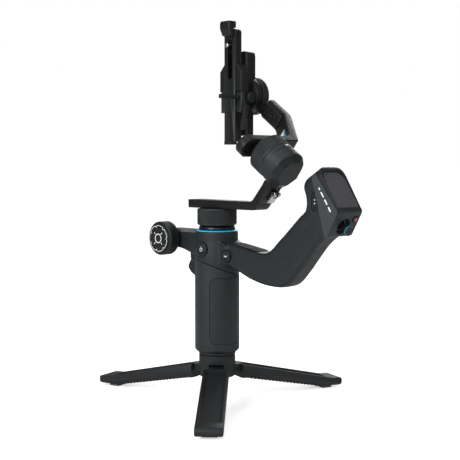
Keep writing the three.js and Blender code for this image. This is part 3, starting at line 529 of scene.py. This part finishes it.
def build_grip():
    """The grip's tube, and the battery cover that fills the opening in its rear."""
    bottom, top = low("grip_shell").z, SEAM_HEIGHT
    radius = high("grip_shell").x
    bore, floor, socket = 20, 64, 8.3
    profile = [(socket, bottom), (24, bottom), (24.5, bottom + 0.4), (radius - 0.2, 58), (radius, 59),
               (radius, top - 0.6), (radius - 0.5, top), (bore, top), (bore, floor), (socket, floor)]
    shell = stand_in("grip_shell", lean(turned(profile, 128), top - 1, top + 1))

    cover_low, cover_high = low("battery_cover").z, high("battery_cover").z
    width, height = radius * math.radians(COVER_DEGREES), cover_high - cover_low
    corner, gap, facing = 9, 0.5, -90
    centre = (cover_low + cover_high) / 2
    outline = shifted(rounded_box(width, height, corner, 8), 0, centre)
    opening = shifted(rounded_box(width + 2 * gap, height + 2 * gap, corner + gap, 8), 0, centre)
    cutters = [temporary(wrapped(opening, 15, radius + 5, radius, facing))]
    for side in (-1, 1):
        seam = [(side * (radius + 0.05), 0, z) for z in (60, 100, top + 8)]
        cutters.append(temporary(tube(seam, 0.38)))
    for foot in (60.2, 63.2):
        ring = rectangle(radius - 0.35, foot, radius + 1, foot + 0.5)
        cutters.append(temporary(turned(ring, 128)))
    sharpen(carve(shell, *cutters))
    soften(stand_in("battery_cover", wrapped(outline, bore + 0.4, radius, radius, facing)), 0.5, 3, 40)


# ---------------------------------------------------------------- sling body
# Upper and lower edges of the arm in (Y, Z), with its half width, from the housing to the head.
ARM_STATIONS = [
    ((14, 187), (14, 164), 13.5),
    ((-8, 187), (-6, 162.5), 14.6),
    ((-28, 184), (-22, 160.2), 14.8),
    ((-50, 180.3), (-42, 153.4), 14.8),
    ((-72, 176.8), (-66, 144.3), 14.8),
    ((-86, 176.3), (-92, 139.6), 14.8),
    ((-95, 181.5), (-116, 141.6), 14.8),
    ((-106, 191.8), (-132.5, 156.6), 14.8),
    ((-122, 205.9), (-146, 172.8), 14.4),
    ((-136.3, 219.4), (-158.6, 187.8), 14.8),
    ((-146.2, 227.2), (-172.2, 199.6), 17.2),
    ((-149, 229.5), (-175, 202.4), 17.8),
]
# The groove along each side of the arm, in (Y, Z).
SIDE_GROOVE = [(-24, 181.2), (-59, 175.4), (-85, 170.6), (-98, 168.2), (-112, 171.5), (-129, 187.5),
               (-143, 200.5), (-146.5, 206), (-141, 215)]


def arm_mesh():
    """The arm as one skin over rounded sections."""
    stations = [(*upper, *lower, half) for upper, lower, half in ARM_STATIONS]
    sides, squareness = 48, 2 / 5.5
    bm = bmesh.new()
    rings = []
    for upper_y, upper_z, lower_y, lower_z, half in smooth_path(stations):
        centre = Vector((0, (upper_y + lower_y) / 2, (upper_z + lower_z) / 2))
        rise = Vector((0, (upper_y - lower_y) / 2, (upper_z - lower_z) / 2))
        ring = []
        for k in range(sides):
            c, s = math.cos(2 * math.pi * k / sides), math.sin(2 * math.pi * k / sides)
            across = math.copysign(abs(c) ** squareness, c) * half
            up = math.copysign(abs(s) ** squareness, s)
            ring.append(bm.verts.new(centre + X_AXIS * across + rise * up))
        rings.append(ring)
    for first, second in zip(rings, rings[1:]):
        for k in range(sides):
            m = (k + 1) % sides
            bm.faces.new((first[k], first[m], second[m], second[k]))
    bm.faces.new(rings[0][::-1])
    bm.faces.new(rings[-1])
    return to_mesh(bm, "arm")


def merged(meshes):
    """All the meshes as one, overlaps and all."""
    bm = bmesh.new()
    for mesh in meshes:
        bm.from_mesh(mesh)
    mesh = bpy.data.meshes.new("merged")
    bm.to_mesh(mesh)
    bm.free()
    return mesh


def blended(meshes, voxel_mm, rounds):
    """Overlapping solids become one skin with soft inside corners."""
    obj = temporary(merged(meshes))
    remesh = obj.modifiers.new("skin", "REMESH")
    remesh.mode = "VOXEL"
    remesh.voxel_size = voxel_mm * MM
    smooth = obj.modifiers.new("smooth", "SMOOTH")
    smooth.factor = 0.5
    smooth.iterations = rounds
    return apply_modifiers(obj)


def adopt(obj, node):
    """A throwaway object becomes the shown piece of a CAD node."""
    obj.name = node + "_fine"
    obj.data.polygons.foreach_set("use_smooth", [True] * len(obj.data.polygons))
    obj.data.materials.clear()
    obj.data.materials.append(MATERIALS[SLOT[node]])
    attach(obj, BODY[node])
    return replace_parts(obj, node)


BUTTON_GAP = 0.45


def side_disc(node, depth):
    """A disc cutter round a button that faces left, as deep as depth millimetres behind its face."""
    centre, size = middle(node), high(node) - low(node)
    radius = size.y / 2 + BUTTON_GAP
    face = low(node).x
    clear = face - 12
    disc = turned([(0, clear), (radius, clear), (radius, face + depth), (0, face + depth)], 64)
    return temporary(disc, about_x(centre))


def housing_mesh():
    """The round housing above the grip, which narrows to the neck."""
    radius, neck = high("grip_shell").x, high("accent_ring").x + 0.2
    seam, top = SEAM_HEIGHT + 0.2, low("accent_ring").z + 0.4
    profile = [(0, seam), (radius - 0.4, seam), (radius, seam + 0.5), (radius, seam + 12), (neck, 186),
               (neck, top), (0, top)]
    return lean(turned(profile, 128), seam - 1, seam + 1)


def extension_meshes():
    """The front extension under the accessory pad, the swelling behind it, and the trigger's two ears."""
    top, tip = 193, 76
    beam = [(0, top), (tip, top), (tip, 176), (47, 173.2), (24, 166.5), (0, 164)]
    swelling = [(-30, 181), (-22, 184.5), (0, 189), (0, 163), (-30, 159)]
    ear = fillet([(25, 174), (36, 174), (36, 161), (32, 158), (26, 158), (24, 162)], 2)
    thickness = 3
    ears = [across(ear, x - thickness / 2, x + thickness / 2) for x in (-8, 8)]
    return [across(fillet(beam, 3), -12, 12), across(fillet(swelling, 3), -16.5, 16.5), *ears]


def sling_cutters():
    """The buttons' wells, the seats of pad and cover, the shallow recess for the sheet of painted shade, the side
    grooves and the neck's well.
    """
    cutters = [side_disc("mode_button", 6.0), side_disc("menu_button", 7.4)]
    pad_middle = Vector((0, middle("accessory_pad").y, 0))
    cutters.append(temporary(prism(rounded_box(20.8, 47.8, 1.5), 191.5, 200), place(pad_middle)))
    cutters.append(temporary(prism(rounded_box(22.6, 56, 4), -1.6, 8), cover_frame()))
    for side in (-1, 1):
        path = smooth_path([(side * 15, y, z) for y, z in SIDE_GROOVE])
        cutters.append(temporary(tube(path, 0.55, 8)))
    cutters.append(temporary(prism(rounded_box(20.4, 46.4, 8.2, 8), -0.9, 8), recess_frame()))
    cutters.append(temporary(turned(rectangle(0, 176, 17, 205), 64)))
    return cutters


def build_sling():
    """One moulding: housing, front extension and arm, with the cover inlay on the arm's inner face and a dark
    sheet of painted shade in the recess on its upper face.
    """
    voxel, rounds = ((0.75, 14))
    body = blended([housing_mesh(), arm_mesh(), *extension_meshes()], voxel, rounds)
    sharpen(adopt(carve(body, *sling_cutters()), "sling_body"), 40)
    # A dark sheet fills the recess on the arm's upper face and paints the shade there.
    shade_sheet = prism(rounded_box(19.4, 45.4, 7.7, 8), -1.4, 0.3)
    soften(piece("arm_recess_shade_sheet", shade_sheet, "handle", "recess_shade", recess_frame()), 0.3)
    inlay = prism(rounded_box(21.8, 55.2, 3.7), -1.2, 0.45)
    soften(stand_in("sling_cover", inlay, cover_frame()), 0.4)
    refine("trigger_pin", 0.2, slot="dark_steel")


def recess_frame():
    """On the arm's upper face, between the housing and the bend."""
    return place((0, -53, 180.0), Vector((0, -0.1636, 1)))


def cover_frame():
    """On the dark cover over the arm's inner face."""
    out = Vector((0, 0.691, 0.723)).normalized()
    return place(middle("sling_cover") + out * 0.55, out)


def build_pad():
    """A grey rubber pad with square ridges across it."""
    first, last = low("accessory_pad"), high("accessory_pad")
    ridges = 9
    pitch = (last.y - first.y) / ridges
    top, valley = last.z, last.z - 1.1
    points = [(first.y, first.z), (last.y, first.z)]
    for i in range(ridges, 0, -1):
        edge = first.y + i * pitch
        points += [(edge - 0.15, top), (edge - 0.6 * pitch, top), (edge - 0.7 * pitch, valley),
                   (edge - pitch + 0.05, valley)]
    soften(stand_in("accessory_pad", across(points, first.x, last.x)), 0.3, 2)


# ---------------------------------------------------------------- controls on the housing
def flat_mark(name, outline, body, matrix, height=0.12, slot="white"):
    """A thin printed shape, standing just proud of a face."""
    return piece(name, prism(outline, 0, height), body, slot, matrix)


def disc_outline(radius, sides=32):
    angles = [2 * math.pi * i / sides for i in range(sides)]
    return [(radius * math.cos(angle), radius * math.sin(angle)) for angle in angles]


def shifted(outline, x, y, turn=0.0):
    """An outline turned about its origin, then moved."""
    spin = Matrix.Rotation(turn, 2)
    return [spin @ Vector((p[0], p[1])) + Vector((x, y)) for p in outline]


def build_side_button(node):
    """A round button that faces left, dished, in a thin ring gap. Returns a frame on its face for marks."""
    face, back = low(node).x, high(node).x
    centre = middle(node)
    radius = high(node).y - centre.y
    profile = [(0, face + 0.5), (radius * 0.62, face + 0.35), (radius * 0.84, face),
               (radius - 0.25, face + 0.35), (radius, face + 1.1), (radius, back), (0, back)]
    stand_in(node, turned(arc_profile(profile, 0.5), 72), about_x(centre))
    return place((face + 0.42, centre.y, centre.z), -X_AXIS, -Y_AXIS)


def build_housing_controls():
    """The two side buttons, the control wheel and the trigger."""
    face = build_side_button("mode_button")
    ring_mark = turned(rectangle(1.5, 0, 2.1, 0.12), 40)
    piece("mode_mark_ring", ring_mark, "mode_button", "white", face)
    bar_place = face @ Matrix.Translation((0, 2.1, 0))
    flat_mark("mode_mark_bar", rounded_box(0.6, 2.6, 0.28), "mode_button", bar_place)
    face = build_side_button("menu_button")
    for i in (-1, 0, 1):
        dot = shifted(rounded_box(1.0, 1.5, 0.35), 1.7 * i, 0)
        flat_mark(f"menu_mark_{i + 2}", dot, "menu_button", face)
    build_wheel()
    refine("trigger", 1.0, 4)


def build_wheel():
    """A knurled wheel with a groove near its back, on a short axle, and its flat cap."""
    face, back = low("control_wheel").x, high("control_wheel").x
    centre = middle("control_wheel")
    radius = high("control_wheel").y - centre.y
    axle = about_x(centre)
    axle_radius, knurls, knurl_depth = 3, 96, 0.4
    profile = [(0, face), (radius - 1.6, face), (radius, face + 1.5), (radius, face + 10.4),
               (radius - 0.7, face + 10.6), (radius - 0.7, face + 11.4), (radius, face + 11.6),
               (radius, face + 14), (radius - 1.5, face + 15.5), (axle_radius, face + 15.5),
               (axle_radius, back), (0, back)]
    wheel = turned(profile, 5 * knurls, (knurls, knurl_depth, face + 1.6, face + 10.5))
    sharpen(stand_in("control_wheel", wheel, axle), 30)

    first, last = low("wheel_cap").x, high("wheel_cap").x
    cap = [(0, first), (16.4, first + 0.05), (17.4, first + 0.6), (17.6, last), (0, last)]
    stand_in("wheel_cap", turned(arc_profile(cap, 0.4), 96), axle, "shell_dark")
    build_wheel_marks(place((first, centre.y, centre.z), -X_AXIS, -Y_AXIS))


def build_wheel_marks(face):
    """A thin white ring with seven notches, and a plain compass-like mark in its middle."""
    notches, ring_radius, dip, half_width = 7, 15.4, 2.0, 0.11
    path = []
    steps = 280
    for i in range(steps):
        angle = 2 * math.pi * i / steps
        offset = ((angle * notches / (2 * math.pi) + 0.5) % 1 - 0.5) * 2 * math.pi / notches
        r = ring_radius - dip * max(0.0, 1 - abs(offset) / half_width)
        path.append((r * math.cos(angle), r * math.sin(angle), 0))
    piece("wheel_mark_ring", tube(path, 0.33, 6, closed=True), "wheel", "white", face)
    inner = turned(rectangle(4.6, 0, 5.6, 0.2), 60)
    piece("wheel_mark_circle", inner, "wheel", "white", face)
    for i in range(4):
        turn = Matrix.Rotation(math.pi / 2 * i + math.pi / 4, 4, "Z")
        bar_place = face @ turn @ Matrix.Translation((0, 8.4, 0))
        flat_mark(f"wheel_mark_bar_{i + 1}", rounded_box(0.9, 3.0, 0.4), "wheel", bar_place, 0.2)


# ---------------------------------------------------------------- control head
def head_blank():
    """The head's shell before it is cut: a side outline with a rounded face, all edges softened."""
    half = high("head_shell").x
    corners = [(-149.5, 223.6), (-151.9, 231), (-151, 240), (-147, 250), (-146.2, 259.4), (-158.4, 270.8),
               (-166.2, 270.8), (-192.8, 226.6), (-192.8, 224.4), (-176.3, 196.6)]
    shell = temporary(across(fillet(corners, 5, 6), -half, half))
    face_outline = rounded_top(-half - 0.01, half + 0.01, -70, 28, 13, 1)
    carve(shell, temporary(prism(face_outline, -70, 30), display_frame()), operation="INTERSECT")
    shell.data.polygons.foreach_set("use_smooth", [True] * len(shell.data.polygons))
    bevel = shell.modifiers.new("bevel", "BEVEL")
    bevel.width = 1.6 * MM
    bevel.segments = 4
    bevel.limit_method = "ANGLE"
    bevel.angle_limit = math.radians(50)
    return apply_modifiers(shell)


def head_cutters():
    """The joystick's bowl, the holes of the two buttons, the rocker's slot and the display's window."""
    half = high("head_shell").x
    bowl = turned([(0, -7.5), (7.2, -7.5), (9.2, -2), (10, 5), (0, 5)], 64)
    cutters = [temporary(bowl, CONTROL_FACE)]
    for node in ("record_button", "photo_button"):
        cutters.append(temporary(turned(rectangle(0, -3.9, 4.0, 5), 48), on_control_face(node)))
    cutters.append(temporary(prism(rounded_box(20.4, 8.6, 4.2, 8), -4.9, 5), rocker_frame()))
    window = prism(rounded_top(-half + 1.2, half - 1.2, -21.6, 21.8, 12.4, 2.4), -0.4, 5)
    cutters.append(temporary(window, display_frame()))
    return cutters


def build_head():
    half = high("head_shell").x
    sharpen(adopt(carve(head_blank(), *head_cutters()), "head_shell"), 30)
    glass = prism(rounded_top(-half + 1.4, half - 1.4, -21.4, 21.6, 12.2, 2.2), -1.2, -0.05)
    soften(stand_in("head_display", glass, display_frame()), 0.25)

    rocker_top = -0.1
    rocker = stand_in("head_rocker", prism(rounded_box(19.4, 7.8, 3.8, 8), -3.0, rocker_top), rocker_frame())
    soften(rocker, 0.5, 4)
    for i, shift in enumerate((-1.8, 1.8)):
        mark_place = rocker_frame() @ Matrix.Translation((shift, 0, rocker_top))
        flat_mark(f"rocker_mark_{i + 1}", disc_outline(0.7), "head_rocker", mark_place)

    build_head_labels()
    build_joystick()
    build_head_buttons()


def rounded_top(left, right, bottom, top, top_radius, bottom_radius, steps=8):
    """An upright rectangle with different roundings at its top and bottom corners."""
    points = []
    corners = ((right, top, top_radius), (left, top, top_radius), (left, bottom, bottom_radius),
               (right, bottom, bottom_radius))
    middle_x, middle_y = (left + right) / 2, (bottom + top) / 2
    for turn, (x, y, radius) in enumerate(corners):
        inset = Vector((math.copysign(radius, x - middle_x), math.copysign(radius, y - middle_y)))
        centre = Vector((x, y)) - inset
        for k in range(steps + 1):
            angle = math.pi / 2 * (turn + k / steps)
            points.append(centre + radius * Vector((math.cos(angle), math.sin(angle))))
    return points


def rocker_frame():
    """On the head's left side, at the rocker, with local X upwards."""
    centre = middle("head_rocker")
    return place((-high("head_shell").x, centre.y, centre.z), -X_AXIS, Z_AXIS)


def display_frame():
    """On the head's sloping face, in the middle of the display."""
    out = Vector((0, -0.845, 0.535)).normalized()
    return place(middle("head_display") + out * 0.65, out)


def on_control_face(node):
    """A frame on the joystick's face, at the middle of one of the buttons beside the stick."""
    centre = CONTROL_FACE.inverted() @ middle(node)
    return CONTROL_FACE @ Matrix.Translation((centre.x, centre.y, 0))


def build_head_labels():
    """A plate on each side of the head, and plain dashes along the left one."""
    corners = [(-158.8, 259.5), (-163.4, 264), (-192.2, 226.5), (-192, 223.2), (-178.6, 198.8),
               (-175.8, 199.2), (-166.8, 233)]
    for node in ("head_label_left", "head_label_right"):
        plate = across(fillet(corners, 1.2), low(node).x, high(node).x)
        soften(stand_in(node, plate), 0.45)
    start, end = Vector((-169.5, 248.5)), Vector((-184.2, 225.4))
    turn = math.atan2(end.y - start.y, end.x - start.x)
    face = low("head_label_left").x
    for i, (position, length) in enumerate(((0.0, 2.6), (0.26, 6.5), (0.58, 6.5), (0.9, 6.0))):
        centre = start.lerp(end, position)
        dash = shifted(rounded_box(length, 1.7, 0.8), centre.x, centre.y, turn)
        piece(f"label_dash_{i + 1}", across(dash, face - 0.12, face + 0.1), "handle", "white")


def build_joystick():
    """The stick's knob with its blue band, and the ring that it tilts in."""
    ring = [(5.2, -5.8), (7.0, -5.8), (7.3, -3.2), (5.2, -3.2)]
    stand_in("joystick_ring", turned(ring, 64), CONTROL_FACE)
    stick = [(0, -6), (2.2, -6), (2.2, 3.2), (4.9, 4.4), (5.0, 7.3), (4.0, 8.45), (2.6, 8.1), (0, 7.9)]
    knob = turned(arc_profile(stick, 0.5), 72, (36, 0.12, 4.4, 7.4))
    stand_in("joystick_knob", knob, CONTROL_FACE)
    band = turned(rectangle(4.7, 6.9, 5.0, 7.5), 72)
    piece("joystick_band", band, "joystick_knob", "accent", CONTROL_FACE)


def build_head_buttons():
    """A button on each side of the stick. The record button has a red dot."""
    profile = arc_profile([(0, -2.3), (3.6, -2.3), (3.6, 0.9), (3.0, 1.4), (0, 1.25)], 0.4)
    stand_in("record_button", turned(profile, 56), on_control_face("record_button"), "button")
    stand_in("photo_button", turned(profile, 56), on_control_face("photo_button"), "dark_steel")
    dot_place = on_control_face("record_button") @ Matrix.Translation((0, 0, 1.27))
    flat_mark("record_dot", disc_outline(1.7), "record_button", dot_place, slot="red")


# ---------------------------------------------------------------- motors
DRUM_FLUTES = 120
FLUTE_DEPTH = 0.28


def fluted_drum(node, axis, flute_low, flute_high, profile):
    """A motor's drum, with fine flutes round it between two heights."""
    drum = turned(profile, 4 * DRUM_FLUTES, (DRUM_FLUTES, FLUTE_DEPTH, flute_low, flute_high))
    return sharpen(stand_in(node, drum, axis), 30)


def build_pan():
    """The blue ring and the neck ring under the pan motor, its rotor and the bar on top."""
    upright = place((0, 0, 0))
    first, last = low("accent_ring").z + 0.6, high("accent_ring").z
    bore, radius = 18, high("accent_ring").x
    ring = [(bore, first), (radius - 0.1, first), (radius, first + 0.3), (radius, last - 0.3),
            (radius - 0.1, last), (bore, last)]
    stand_in("accent_ring", turned(ring, 128), upright)

    first, last = low("neck_ring").z, high("neck_ring").z
    bore, radius = 12, 21.1
    ring = [(bore, first), (radius - 0.1, first), (radius, first + 0.3), (radius, first + 3.6),
            (radius - 0.9, first + 4.0), (radius - 0.9, last), (bore, last)]
    stand_in("neck_ring", turned(ring, 128), upright, "dark_steel")

    first, last = low("pan_rotor").z, high("pan_rotor").z
    bore, radius, top_plate = 18, 23, 4.6
    profile = [(0, last), (radius - 1, last), (radius - 0.2, last - 0.5), (radius, last - 1.3),
               (radius, last - 1.31), (radius, first + 2.2), (radius, first + 2.19),
               (radius - 0.6, first + 0.4), (radius - 1.2, first), (bore, first), (bore, last - top_plate),
               (0, last - top_plate)]
    fluted_drum("pan_rotor", upright, first + 2.195, last - 1.305, profile)
    refine("pan_bracket", 0.8, 4)


def facet_end(mesh, start, end, reach):
    """Planes eight facets on a turned cap. They are MOTOR_RADIUS from the axis at start, and reach at end."""
    half = math.pi / 8
    for vertex in mesh.vertices:
        x, y, z = vertex.co
        radius = math.hypot(x, y)
        if z > start or radius < 1e-6:
            continue
        angle = (math.atan2(y, x) + half) % (2 * half) - half
        flat = MOTOR_RADIUS + (reach - MOTOR_RADIUS) * (start - z) / (start - end)
        limit = flat / math.cos(angle)
        if radius > limit:
            vertex.co.x *= limit / radius
            vertex.co.y *= limit / radius
    return mesh


# Heights along the roll axis, measured from where the three axes cross, from front to back.
ROLL_NECK, ROTOR_FRONT, ROTOR_BACK, CAP_FRONT, CAP_END = -111.7, -116, -132.9, -139.5, -158.9


def build_roll():
    """The roll motor with its trim ring and cap, the riser's slider and lever, and the roll bracket."""
    radius, neck_radius, bore = MOTOR_RADIUS, 17, 17.3
    front, back, rim, top_plate = ROTOR_FRONT, ROTOR_BACK, 1.2, 4.4
    drum = [(0, ROLL_NECK), (neck_radius, ROLL_NECK), (neck_radius, front), (radius - rim, front),
            (radius, front - rim), (radius, front - rim - 0.01), (radius, back + rim + 0.01),
            (radius, back + rim), (radius - 0.35, back), (bore, back), (bore, front - top_plate),
            (0, front - top_plate)]
    fluted_drum("roll_rotor", ALONG_ROLL, back + rim + 0.005, front - rim - 0.005, drum)
    build_roll_trim()
    build_roll_cap()
    refine("riser_slider", 0.7, 4)
    refine("riser_lever", 0.9, 4)
    refine("roll_bracket", 0.9, 4)
    build_accent()


def build_roll_trim():
    """The ring between the roll motor's rotor and its cap, with a white index mark on top."""
    bore, radius = 17.5, MOTOR_RADIUS - 0.35
    low_end, high_end = CAP_FRONT + 0.3, ROTOR_BACK - 0.3
    ring = [(bore, low_end), (radius - 0.15, low_end), (radius, low_end + 0.3), (radius, high_end - 0.3),
            (radius - 0.15, high_end), (bore, high_end)]
    stand_in("roll_trim_ring", turned(ring, 128), ALONG_ROLL, "motor")
    turn = Matrix.Rotation(math.radians(-88), 4, "Z")
    on_ring = place((radius - 0.01, 0, (ROTOR_BACK + CAP_FRONT) / 2), X_AXIS, Y_AXIS)
    flat_mark("roll_index_mark", rounded_box(4.2, 1.8, 0.5), "roll_carriage", ALONG_ROLL @ turn @ on_ring)


def build_roll_cap():
    """The roll motor's cap, whose end is planed into eight facets round a small flat."""
    radius, chamfer, rows = MOTOR_RADIUS, 6.5, 16
    start = CAP_END + chamfer
    profile = [(0, CAP_FRONT), (radius - 0.5, CAP_FRONT), (radius, CAP_FRONT - 0.4)]
    profile += [(radius, CAP_END + chamfer * (1 - k / rows)) for k in range(rows + 1)]
    profile.append((0, CAP_END))
    cap = facet_end(turned(profile, 160), start, CAP_END, 15)
    sharpen(stand_in("roll_motor_cap", cap, ALONG_ROLL), 12)


def build_accent():
    """A blue triangle in the inner bend of the roll bracket, with a white one behind it as its edge."""
    flat = place(AXES_CENTRE, X_AXIS.cross(ROLL_FORWARD))
    half = 6.2
    blue = [(37.5, -101.3), (44.2, -101.3), (57.8, -82.7)]
    white = [(30, -101.3), (44.2, -101.3), (60.6, -78.9)]
    stand_in("bracket_accent", prism(blue, -half - 0.3, half + 0.3), flat)
    piece("bracket_accent_edge", prism(white, -half, half), "roll", "white", flat)


def build_tilt_carriage():
    """The tilt motor, its rotor's flange, the slider that carries it and the slider's lock knob."""
    radius = MOTOR_RADIUS
    inner, outer = low("tilt_motor").x, high("tilt_motor").x
    profile = [(0, inner), (radius - 0.4, inner), (radius, inner + 0.4), (radius, inner + 1.6),
               (radius, outer - 4.61), (radius, outer - 4.6), (radius - 1.0, outer - 3.8),
               (radius - 6.2, outer - 0.3), (radius - 7.0, outer), (0, outer)]
    fluted_drum("tilt_motor", ALONG_TILT, inner + 1.5, outer - 4.605, profile)
    first, last = low("tilt_rotor").x, high("tilt_rotor").x
    flange = [(0, first), (19.4, first), (20, first + 0.4), (20, last - 0.3), (19.7, last), (0, last)]
    stand_in("tilt_rotor", turned(flange, 96), ALONG_TILT)
    refine("tilt_slider", 0.6)

    first, last = low("side_arm_knob").x, high("side_arm_knob").x
    foot, radius, stud, ribs = last - 7, 7, 2, 24
    profile = [(0, first), (stud, first), (stud, foot), (radius - 0.4, foot), (radius, foot + 0.5),
               (radius, last - 1.1), (radius - 1, last), (4.5, last - 0.2), (0, last - 0.7)]
    knob = turned(profile, 6 * ribs, (ribs, 0.5, foot + 0.4, last - 0.8))
    stand_in("side_arm_knob", knob, about_x(middle("side_arm_knob")))


# ---------------------------------------------------------------- camera mount
def build_mount():
    """The tilt bar with its clamp, and the camera plate with its screw."""
    refine("tilt_bar", 1.0, 4)
    refine("clamp_base", 0.8, 4)
    refine("clamp_lower_jaw", 0.6)
    refine("clamp_lever", 0.8, 4)
    refine("safety_tab", 1.2, 4)
    refine("camera_plate", 0.6)
    refine("plate_hook", 1.0, 4)
    build_clamp_knob()
    build_camera_screw()


def build_clamp_knob():
    centre = middle("clamp_knob")
    radius = high("clamp_knob").x - centre.x
    first, last, ribs = low("clamp_knob").y, high("clamp_knob").y, 32
    profile = [(0, first), (radius - 0.7, first), (radius, first + 0.9), (radius, last), (0, last)]
    knob = turned(arc_profile(profile, 0.3), 5 * ribs, (ribs, 0.5, first + 0.5, last))
    stand_in("clamp_knob", knob, place((centre.x, 0, centre.z), Y_AXIS, X_AXIS))


def build_camera_screw():
    """A quarter inch screw: a ridged shank and a wide flat head."""
    first, last = low("camera_screw").x, high("camera_screw").x
    pitch, crest, root = 1.27, 2.7, 2.25
    thread_start, thread_end = first + 0.6, first + 9
    profile = [(0, first), (2.2, first)]
    for k in range(math.ceil((thread_end - thread_start) / pitch)):
        x = thread_start + k * pitch
        profile += [(crest, x), (root, x + pitch / 2)]
    head = last - 3
    profile += [(2.6, head), (4.6, head), (4.6, last - 0.3), (4.3, last), (0, last)]
    stand_in("camera_screw", turned(profile, 48), about_x(middle("camera_screw")))


# ---------------------------------------------------------------- mini tripod
def build_tripod():
    refine("tripod_hub", 0.7)
    for name in ("rear", "right", "left"):
        refine(f"leg_{name}", 0.6)
        refine(f"foot_{name}", 0.6)
    first, last = low("tripod_screw").z, high("tripod_screw").z
    flange, stud = high("tripod_screw").x, 3
    profile = [(0, first), (flange - 0.5, first), (flange, first + 0.5), (flange, first + 2.6),
               (flange - 0.5, first + 3.2), (stud, first + 3.4), (stud, last), (0, last)]
    stand_in("tripod_screw", turned(profile, 96), place((0, 0, 0)), "tripod")


# ---------------------------------------------------------------- studio
CAMERA_DISTANCE = 1120  # millimetres from the grip's axis
CAMERA_HEIGHT = 277
CAMERA_AZIMUTH = -45  # behind and to the left
PITCH_DOWN = 4.1
YAW_RIGHT = 0.77
LENS = 75.4
LIGHT_TARGET = Vector((0, -0.03, 0.22))
PLAIN_WHITE = (1, 1, 1, 1)


def build_camera():
    data = bpy.data.cameras.new("camera")
    data.lens = LENS
    camera = bpy.data.objects.new("camera", data)
    bpy.context.scene.collection.objects.link(camera)
    bpy.context.scene.camera = camera
    azimuth = math.radians(CAMERA_AZIMUTH)
    back = Vector((math.sin(azimuth), -math.cos(azimuth), 0))
    camera.location = (GRIP_AXIS + back * CAMERA_DISTANCE + Z_AXIS * CAMERA_HEIGHT) * MM
    heading = Matrix.Rotation(azimuth - math.radians(YAW_RIGHT), 4, "Z")
    pitch = Matrix.Rotation(math.radians(90 - PITCH_DOWN), 4, "X")
    camera.rotation_euler = (heading @ pitch).to_euler()


def area_light(name, location, size, power):
    """A soft rectangle of light that faces the object."""
    data = bpy.data.lights.new(name, "AREA")
    data.shape = "RECTANGLE"
    data.size, data.size_y = size
    data.energy = power
    light = bpy.data.objects.new(name, data)
    bpy.context.scene.collection.objects.link(light)
    light.location = location
    light.rotation_euler = (LIGHT_TARGET - Vector(location)).to_track_quat("-Z", "Y").to_euler()


def build_floor():
    """A wide pale floor, which glows a little for the camera alone so that it fades into the background."""
    bm = bmesh.new()
    bmesh.ops.create_grid(bm, x_segments=1, y_segments=1, size=40)
    floor = bpy.data.objects.new("floor", to_mesh(bm, "floor"))
    bpy.context.scene.collection.objects.link(floor)
    floor.location.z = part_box("foot_rear")[0].z
    pale = Finish("studio_floor", "#f4f4f4", 0.9).vary(amount=0.01, size_mm=400, wear=0.0)
    pale.shader.inputs["Emission Color"].default_value = PLAIN_WHITE
    distance = pale.node("ShaderNodeVectorMath", operation="LENGTH")
    pale.join(pale.place, distance.inputs[0])
    painted_glow = pale.node("ShaderNodeMath", operation="MULTIPLY")
    pale.join(pale.spread(distance.outputs["Value"], 0.58, 0.9, 0.5, 2.2), painted_glow.inputs[0])
    pale.join(pale.node("ShaderNodeLightPath").outputs["Is Camera Ray"], painted_glow.inputs[1])
    pale.join(painted_glow.outputs["Value"], pale.shader.inputs["Emission Strength"])
    floor.data.materials.append(pale.material)


def build_studio():
    """The camera sees a white background, and the object is lit by a softer one."""
    build_floor()
    world = bpy.data.worlds.new("world")
    world.use_nodes = True
    nodes, links = world.node_tree.nodes, world.node_tree.links
    background = nodes["Background"]
    background.inputs["Color"].default_value = PLAIN_WHITE
    seen = nodes.new("ShaderNodeMapRange")
    seen.inputs["To Min"].default_value = 0.2
    seen.inputs["To Max"].default_value = 1.0
    links.new(nodes.new("ShaderNodeLightPath").outputs["Is Camera Ray"], seen.inputs["Value"])
    links.new(seen.outputs["Result"], background.inputs["Strength"])
    bpy.context.scene.world = world
    area_light("key", (-1.4, -0.1, 0.9), (0.7, 0.9), 20)
    area_light("fill", (0.3, -1.6, 0.9), (1.2, 0.9), 5)
    area_light("rim", (1.3, 0.8, 0.9), (0.8, 0.8), 10)
    area_light("front", (-1.0, -1.2, 0.75), (0.5, 0.5), 4)
    area_light("top", (0, 0, 1.8), (1.0, 1.0), 5)
    bpy.context.scene.view_settings.view_transform = "Standard"


# ---------------------------------------------------------------- the whole object
build_grip()
build_sling()
build_pad()
build_housing_controls()
build_head()
build_pan()
build_roll()
build_tilt_carriage()
build_mount()
build_tripod()
build_camera()
build_studio()
